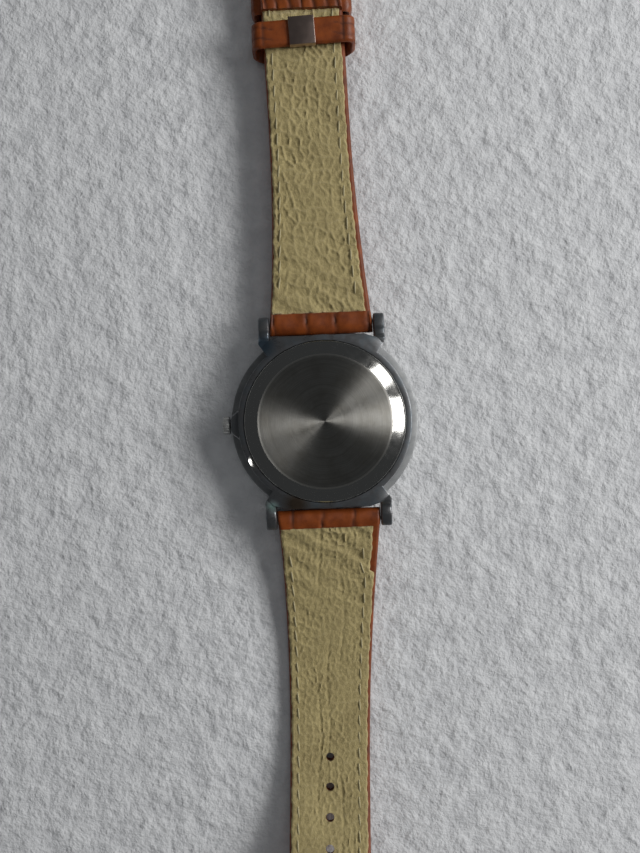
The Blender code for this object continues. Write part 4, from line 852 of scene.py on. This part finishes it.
def stitch_pucker(strap, s, x):
    """How far the stitching pulls the lining in, from 0 to 1."""
    right = x > 0
    right_line = lining_edge(strap, s, 1) - STITCH_INSET[strap.side, 1]
    left_line = lining_edge(strap, s, -1) + STITCH_INSET[strap.side, -1]
    line = np.where(right, right_line, left_line)
    off = x - line
    phase = (s + np.where(right, 1.1, 0.0)) / STITCH_PITCH
    beat = abs(phase - np.round(phase)) * STITCH_PITCH
    hole = np.exp(-((off / 0.32) ** 2)) * np.exp(-((beat / 0.42) ** 2))
    trench = np.exp(-((off / 0.5) ** 2))
    return np.clip(0.45 * trench + 0.9 * hole, 0, 1)


def lining(name, strap, end):
    begin = LINING_START[strap.side]
    ends = [begin, begin + 0.05, begin + 0.14, end - 0.16, end - 0.05, end]
    between = np.arange(begin + 0.4, end - 0.3, 0.23)
    rows = np.unique(np.round(np.concatenate([ends, between]), 3))
    across = shares(67, 4)
    s, share = np.meshgrid(rows, across, indexing="ij")
    left, right = lining_edge(strap, s, -1), lining_edge(strap, s, 1)
    half = np.maximum((right - left) / 2, 0.3)
    shift = (right + left) / 2
    # A hand-cut edge is never quite straight.
    ragged = 0.07 * np.sin(s * 1.1 + np.sign(share) * 2) + 0.05 * np.sin(s * 3.7 + np.sign(share))
    x = shift + share * (half + ragged)
    s = s + np.where(abs(s - begin) < 0.3, 0.09 * np.sin(x * 2.3) + 0.05 * np.sin(x * 6.1), 0.0)
    thick = strap.half_thickness(s)
    base, top = thick - LINING + 0.02, thick
    radius = 0.28
    reach = np.clip((abs(share) * half - (half - radius)) / radius, 0, 1)
    close = 1 - np.sqrt(1 - reach**2)
    row = np.broadcast_to(rows[:, None], s.shape)
    ends = np.minimum(row - rows[0], rows[-1] - row)
    close = np.maximum(close, 1 - np.sqrt(1 - np.clip(1 - ends / 0.22, 0, 1) ** 2))
    # The buckle piece has the coarser grain. Each grain is shallow in some places and deep in others.
    wide, long, depth = (1.75, 2.2, 0.36) if strap.side > 0 else (1.15, 1.75, 0.28)
    coarse = grain(x, s, wide, long, 3.0 + strap.side)
    fine = grain(x, s, wide * 0.55, long * 0.5, 9.0)
    depth = depth * (0.75 + 0.35 * np.sin(x * 0.45 + s * 0.21) * np.sin(s * 0.33 + 1.0))
    if strap.side < 0:
        # It is crumpled most where it bends near the lug.
        depth = depth * (1 + 0.6 * np.exp(-((s / 9) ** 2)))
    pebble = 0.64 * coarse + 0.36 * fine
    pucker = stitch_pucker(strap, s, x)
    wave = 0.05 * np.sin(s * 0.45) * np.sin(x * 0.6 + 1.0)
    # Slanted wrinkles where the piece bends at its lug end.
    slanted = np.sin(x * 0.9 * strap.side + s * 1.5 + 0.6 * np.sin(x * 0.8))
    wave = wave + 0.12 * np.exp(-((s / 14) ** 2)) * (abs(slanted) ** 0.6 * np.sign(slanted) - 0.4)
    if strap.side < 0:
        # Creases along the middle of the longer piece.
        for at, turn in ((-1.9, 0.4), (-0.3, 0.9), (2.1, 1.7)):
            off = x - at - 0.3 * np.sin(s * 0.35 + turn)
            strength = smooth((np.sin(s * 0.16 + turn * 3) + 0.5) / 0.8)
            wave = wave - 0.13 * np.exp(-((off / 0.24) ** 2)) * strength
    high = top + wave - depth * pebble * (1 - 0.75 * pucker) - 0.13 * pucker * (1 - 0.5 * reach)
    middle = base + 0.15
    high = high + (middle - high) * close
    lower = strap.point(s, x, base)
    upper = strap.point(s, x, np.maximum(high, middle))
    rings = np.concatenate([lower, upper[:, ::-1]], axis=1)
    sides = rings.shape[1]
    mesh = bpy.data.meshes.new(name)
    mesh.from_pydata([tuple(p) for p in rings.reshape(-1, 3) * MM], [], tube_faces(len(rows), sides))
    # Depth for the lining's material: painted shade in the grain's hollows and at the stitch holes, and a
    # painted highlight on the grain's ridges.
    deep = np.clip(0.42 * pebble - 0.68 * (1 - pebble) + pucker * 0.12, -0.65, 1)
    # The raw edge is pale and fuzzy, most of all beside the buckle's flap.
    raw = np.exp(-((ends / 0.3) ** 2)) + 0.5 * reach**4
    if strap.side > 0:
        raw = raw + np.exp(-(((s - FLAP_START + 0.75 + 0.12 * np.sin(x * 2.9)) / 0.22) ** 2))
    deep = deep * (1 - 0.5 * np.minimum(raw, 1)) - 0.8 * np.minimum(raw, 1)
    paint(
        mesh,
        np.concatenate([np.zeros_like(deep), deep[:, ::-1]], axis=1),
        np.concatenate([x + 40.0, x[:, ::-1]], axis=1),
        np.concatenate([s, s], axis=1),
    )
    face_out(mesh)
    made = add(name, mesh, LINING_LEATHER)
    shade(mesh, 60)
    return made


def stitch(strap, s, x, n, length, radius, lean, dip):
    """One thread's rings, sunk at both ends."""
    rings = []
    for i in range(9):
        t = i / 8
        along = (t - 0.5) * length
        lift = math.sin(math.pi * t) ** 0.6
        thick = radius * (0.25 + 0.75 * lift)
        centre_n = n + dip * (lift - 1)
        centre_x = x + lean * along
        ring = []
        for k in range(8):
            angle = TURN * k / 8
            ring.append((s + along, centre_x + thick * math.cos(angle), centre_n + thick * math.sin(angle)))
        rings.append(ring)
    flat = np.array(rings)
    return strap.point(flat[..., 0], flat[..., 1], flat[..., 2]).reshape(-1, 3)


def stitching(name, strap, first, last, level, line, radius, material, dip):
    """Two rows of stitches. level gives n at a place, and line gives x at a distance on either side."""
    points, faces = [], []
    for side in (-1, 1):
        offset = 1.1 if side > 0 else 0.0
        k = math.ceil((first + offset) / STITCH_PITCH)
        while (k + 0.5) * STITCH_PITCH - offset < last:
            s = (k + 0.5) * STITCH_PITCH - offset
            x = line(s, side)
            slope = (line(s + 1, side) - line(s - 1, side)) / 2
            lean = slope + 0.09 + 0.05 * (noise(k, side, 4.0) - 0.5)
            start = len(points)
            points += list(stitch(strap, s, x, level(s, x), STITCH_PITCH * 0.86, radius, lean, dip))
            faces += [tuple(start + i for i in face) for face in tube_faces(9, 8)]
            k += 1
    made = add(name, mesh_from(name, points, faces), material)
    shade(made.data, 60)
    return made


def strap_piece(number, strap, flex, lining_end):
    """Leather, lining and both sides' stitching for one piece."""
    prefix = f"strap_{number}"
    shell = leather(f"{prefix}_leather", strap)
    inside = lining(f"{prefix}_lining", strap, lining_end)
    last = lining_end - (2.0 if strap.side > 0 else 6.0)

    def lining_line(s, side):
        return float(lining_edge(strap, np.array(s), side)) - side * STITCH_INSET[strap.side, side]

    def lining_level(s, x):
        return float(strap.half_thickness(np.array(s))) - 0.1

    def outer_line(s, side):
        return side * (float(strap.half_width(np.array(s))) - 1.9)

    def outer_level(s, x):
        share = abs(x) / float(strap.half_width(np.array(s)))
        rise = 0.75 * float(smooth((s - 1.5) / 5.0)) * max(0.0, (share - 0.68) / 0.32) ** 1.6
        return -float(strap.half_thickness(np.array(s))) + rise + 0.09

    inner = stitching(
        f"{prefix}_lining_stitches", strap, 3.4, last, lining_level, lining_line, 0.17, LINING_THREAD, 0.2
    )
    outer = stitching(
        f"{prefix}_outer_stitches", strap, 3.4, last, outer_level, outer_line, 0.16, OUTER_THREAD, 0.2
    )
    # Two points this far each way from the flex joint. The keeper slides close to the shorter one.
    reach = 7.0 if strap.side > 0 else 12.0
    if strap.side < 0:
        for made in (shell, inside):
            boolean(made, "DIFFERENCE", [hole_cutter(i) for i in range(7)])
    else:
        y = BAR_Y + SHORT_LENGTH
        middle = float(SHORT.sideways(np.array(SHORT_LENGTH)))
        left, right = middle - 1.3, middle + 1.3
        outline = [(left, y - 3.4), (right, y - 3.4), (right, y + 4), (left, y + 4)]
        boolean(shell, "DIFFERENCE", [prism("slot", outline, 0, 10, None)])
    start, end = (tuple(strap.point(np.array(flex + d), 0.0, 0.0) * MM) for d in (-reach, reach))
    for made in (shell, inside, inner, outer):
        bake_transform(made)
    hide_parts(f"{prefix}_outer_root", f"{prefix}_outer_tip", f"{prefix}_padding")
    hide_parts(f"{prefix}_lining_root", f"{prefix}_lining_tip")


def hole_cutter(i):
    s = HOLE_START + HOLE_PITCH * i
    at = LONG.point(np.array(s), 0.0, 0.0) * MM
    place = Matrix.Translation(tuple(at)) @ Matrix.Rotation(-float(LONG.heading(s)), 4, "X")
    return prism(f"hole_{i}", arc(0.75, 0, 360, 24)[:-1], -3, 3, None, place)


# ---------------------------------------------------------------- keepers


def band(name, path, width, thickness, material, y, middle, tilt=0.0, closed=True):
    """A leather strip bent along a path in X and Z, with rounded edges, creased at its sides."""
    path = np.array(path)
    count = len(path)
    if closed:
        ahead, behind = np.roll(path, -1, 0), np.roll(path, 1, 0)
    else:
        ahead = np.vstack([path[1:], path[-1:]])
        behind = np.vstack([path[:1], path[:-1]])
    tangent = ahead - behind
    tangent /= np.linalg.norm(tangent, axis=1)[:, None]
    normal = np.stack([tangent[:, 1], -tangent[:, 0]], -1)
    length = np.concatenate([[0], np.cumsum(np.linalg.norm(np.diff(path, axis=0), axis=1))])
    # Points round the strip's section: how far across it, and 1 for its outer face or -1 for its inner.
    w, t = width / 2, thickness / 2
    spots = []
    for u in np.linspace(-1, 1, 15):
        spots.append((u, 1.0))
    for u in np.linspace(1, -1, 7):
        spots.append((u, -1.0))
    points, hollow, flat_u, flat_s = [], [], [], []
    for k in range(count):
        at = length[k]
        for u, face in spots:
            reach = max(0.0, (abs(u) - 0.84) / 0.16)
            across = u * w
            n = face * t * math.sqrt(max(1 - reach**2, 0.0)) if reach < 1 else face * t * 0.12
            crease = 0.0
            if face > 0:
                row = abs(at / 2.3 - round(at / 2.3)) * 2.3
                column = abs(across + 0.3 * math.sin(at)) - 0.9
                sides = float(smooth((abs(path[k, 0]) - 4.6) / 1.2))
                crease = math.exp(-((row / 0.2) ** 2)) + 0.7 * math.exp(-((column / 0.2) ** 2))
                crease = min(crease, 1.0) * (1 - reach) * sides
                n -= 0.13 * crease
            x = path[k, 0] + normal[k, 0] * n
            z = path[k, 1] + normal[k, 1] * n
            points.append((x + middle, y + across + math.tan(tilt) * x, z))
            hollow.append(crease)
            flat_u.append(across)
            flat_s.append(at)
    mesh = bpy.data.meshes.new(name)
    faces = tube_faces(count, len(spots), not closed, closed)
    mesh.from_pydata([tuple(p) for p in np.array(points) * MM], [], faces)
    # The creases' depth, which the leather's material paints as shade.
    paint(mesh, np.array(hollow), np.array(flat_u) + 80.0, np.array(flat_s))
    face_out(mesh)
    made = add(name, mesh, material)
    shade(mesh, 55)
    return made


def rounded_loop(x0, x1, z0, z1, upper, lower, step=0.35):
    corners = [
        (x1 - upper, z1 - upper, upper, 0), (x0 + upper, z1 - upper, upper, 90),
        (x0 + lower, z0 + lower, lower, 180), (x1 - lower, z0 + lower, lower, 270),
    ]
    rough = []
    for cx, cz, radius, start in corners:
        rough += arc(radius, start, start + 90, 8, (cx, cz))
    found = []
    for a, b in zip(rough, rough[1:] + rough[:1]):
        gap = math.dist(a, b)
        steps = max(1, round(gap / step))
        dx, dy = (b[0] - a[0]) / steps, (b[1] - a[1]) / steps
        found += [(a[0] + dx * i, a[1] + dy * i) for i in range(steps)]
    return found


def keepers():
    s = FLOATING_KEEPER_S
    middle = float(SHORT.sideways(np.array(s)))
    low, high = 0.02 + 0.55, BAR_Z + TIP_HALF + 0.12 + 0.55
    loop = rounded_loop(-8.55, 8.55, low, high, 1.2, 2.4)
    made = band("keeper_loop", loop, 4.66, 1.06, LEATHER, BAR_Y + s, middle, KEEPER_TILT)
    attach(made, "floating_keeper")
    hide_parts("floating_keeper")

    # The clip: a channel of sheet steel over the loop's joint.
    crest = BAR_Z + TIP_HALF + 0.12 + 1.1
    wide, leg, sheet = 2.45, 0.85, 0.3
    outline = [
        (-wide, crest - leg), (-wide, crest + sheet + 0.05),
        (wide, crest + sheet + 0.05), (wide, crest - leg),
        (wide - sheet, crest - leg), (wide - sheet, crest + 0.05),
        (-wide + sheet, crest + 0.05), (-wide + sheet, crest - leg),
    ]
    upright = Matrix(((0, 0, 1, 0), (1, 0, 0, 0), (0, 1, 0, 0), (0, 0, 0, 1)))
    centre = Matrix.Translation((middle * MM, (BAR_Y + s) * MM, 0))
    place = centre @ Matrix.Rotation(KEEPER_TILT, 4, "Z") @ upright
    clip = prism("keeper_joint_clip", outline, -2.5, 2.0, CLIP_STEEL, place)
    applied(round_edges(clip, 0.1, 3))
    shade(clip.data, 35)
    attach(clip, "floating_keeper")
    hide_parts("keeper_clip")

    s = FIXED_KEEPER_S
    middle = float(SHORT.sideways(np.array(s)))
    top = BAR_Z + 0.6 - 0.55
    path = [(6.95, top), (7.5, top)]
    path += arc(0.85, 90, 0, 6, (7.5, top - 0.85))
    path += [(8.35, z) for z in np.linspace(top - 1.3, 1.9, 8)]
    path += arc(1.3, 0, -90, 8, (7.05, 1.87))
    path += [(x, 0.57) for x in np.linspace(6.5, 0.3, 18)]
    path += [(-x, z) for x, z in reversed(path)]
    made = band("fixed_keeper_band", path, 4.74, 1.06, LEATHER, BAR_Y + s, middle, 0.0, False)
    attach(made, "strap_12_tip")
    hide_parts("fixed_keeper")


# ---------------------------------------------------------------- stage


def floor():
    f = Finish("pale_cloth", (0.78, 0.785, 0.79), 0.9, 0.0, Sheen_Weight=0.1)
    where = f.place()
    tufts = f.noise(where, 0.24, 4.0, 0.55)
    fine = f.noise(where, 0.62, 4.0, 0.6)
    share = f.span(tufts, 0.35, 0.65, 0.0, 1.0)
    f.link(f.mix(share, (0.76, 0.765, 0.775), (0.89, 0.895, 0.9)), "Base Color")
    f.bump(f.math("ADD", tufts, f.math("MULTIPLY", fine, 0.5)), 1.7, 0.6)
    mesh = bpy.data.meshes.new("floor")
    mesh.from_pydata([(-1, -1, 0), (1, -1, 0), (1, 1, 0), (-1, 1, 0)], [], [(0, 1, 2, 3)])
    made = add("floor", mesh, f.material)


def lamp(name, azimuth, elevation, distance, width, height, power, colour=(1, 1, 1), glossy=True):
    light = bpy.data.lights.new(name, "AREA")
    light.shape = "RECTANGLE"
    light.size, light.size_y = width, height
    light.energy = power
    light.color = colour
    made = bpy.data.objects.new(name, light)
    bpy.context.scene.collection.objects.link(made)
    a, e = math.radians(azimuth), math.radians(elevation)
    made.location = Vector((math.cos(e) * math.cos(a), math.cos(e) * math.sin(a), math.sin(e))) * distance
    made.rotation_euler = (-made.location).to_track_quat("-Z", "Y").to_euler()
    made.visible_glossy = glossy


def lights():
    world = bpy.data.worlds.new("studio")
    world.use_nodes = True
    world.node_tree.nodes["Background"].inputs["Color"].default_value = (0.9, 0.95, 1.0, 1)
    world.node_tree.nodes["Background"].inputs["Strength"].default_value = 0.045
    bpy.context.scene.world = world
    # Two panes of one broad side window, and a weak wide fill that metal doesn't mirror.
    lamp("window_near", 3.5, 33, 0.75, 0.275, 0.32, 2.95)
    lamp("window_far", 36.5, 33, 0.75, 0.18, 0.32, 1.15)
    lamp("fill", 90, 86, 0.9, 0.9, 0.9, 0.95, (0.95, 0.97, 1.0), False)
    bpy.context.scene.view_settings.view_transform = "Standard"


def camera():
    data = bpy.data.cameras.new("camera")
    data.sensor_width = 36.0
    data.lens = 34.9
    data.clip_start = 0.01
    made = bpy.data.objects.new("camera", data)
    bpy.context.scene.collection.objects.link(made)
    roll = math.radians(2.4)
    right = Vector((math.cos(roll), -math.sin(roll), 0))
    up = Vector((math.sin(roll), math.cos(roll), 0))
    at = (right * -0.88 + up * -0.88) * MM + Vector((0, 0, 0.15))
    made.matrix_world = Matrix(
        ((right.x, up.x, 0, at.x), (right.y, up.y, 0, at.y), (0, 0, 1, at.z), (0, 0, 0, 1))
    )
    bpy.context.scene.camera = made


dress_nodes()
mid_case()
bezel()
case_back()
crown()
strap_piece("12", SHORT, SHORT_FLEX, SHORT_LENGTH - 3.6)
strap_piece("6", LONG, LONG_FLEX, LONG_LENGTH - 1.2)
keepers()
floor()
lights()
camera()
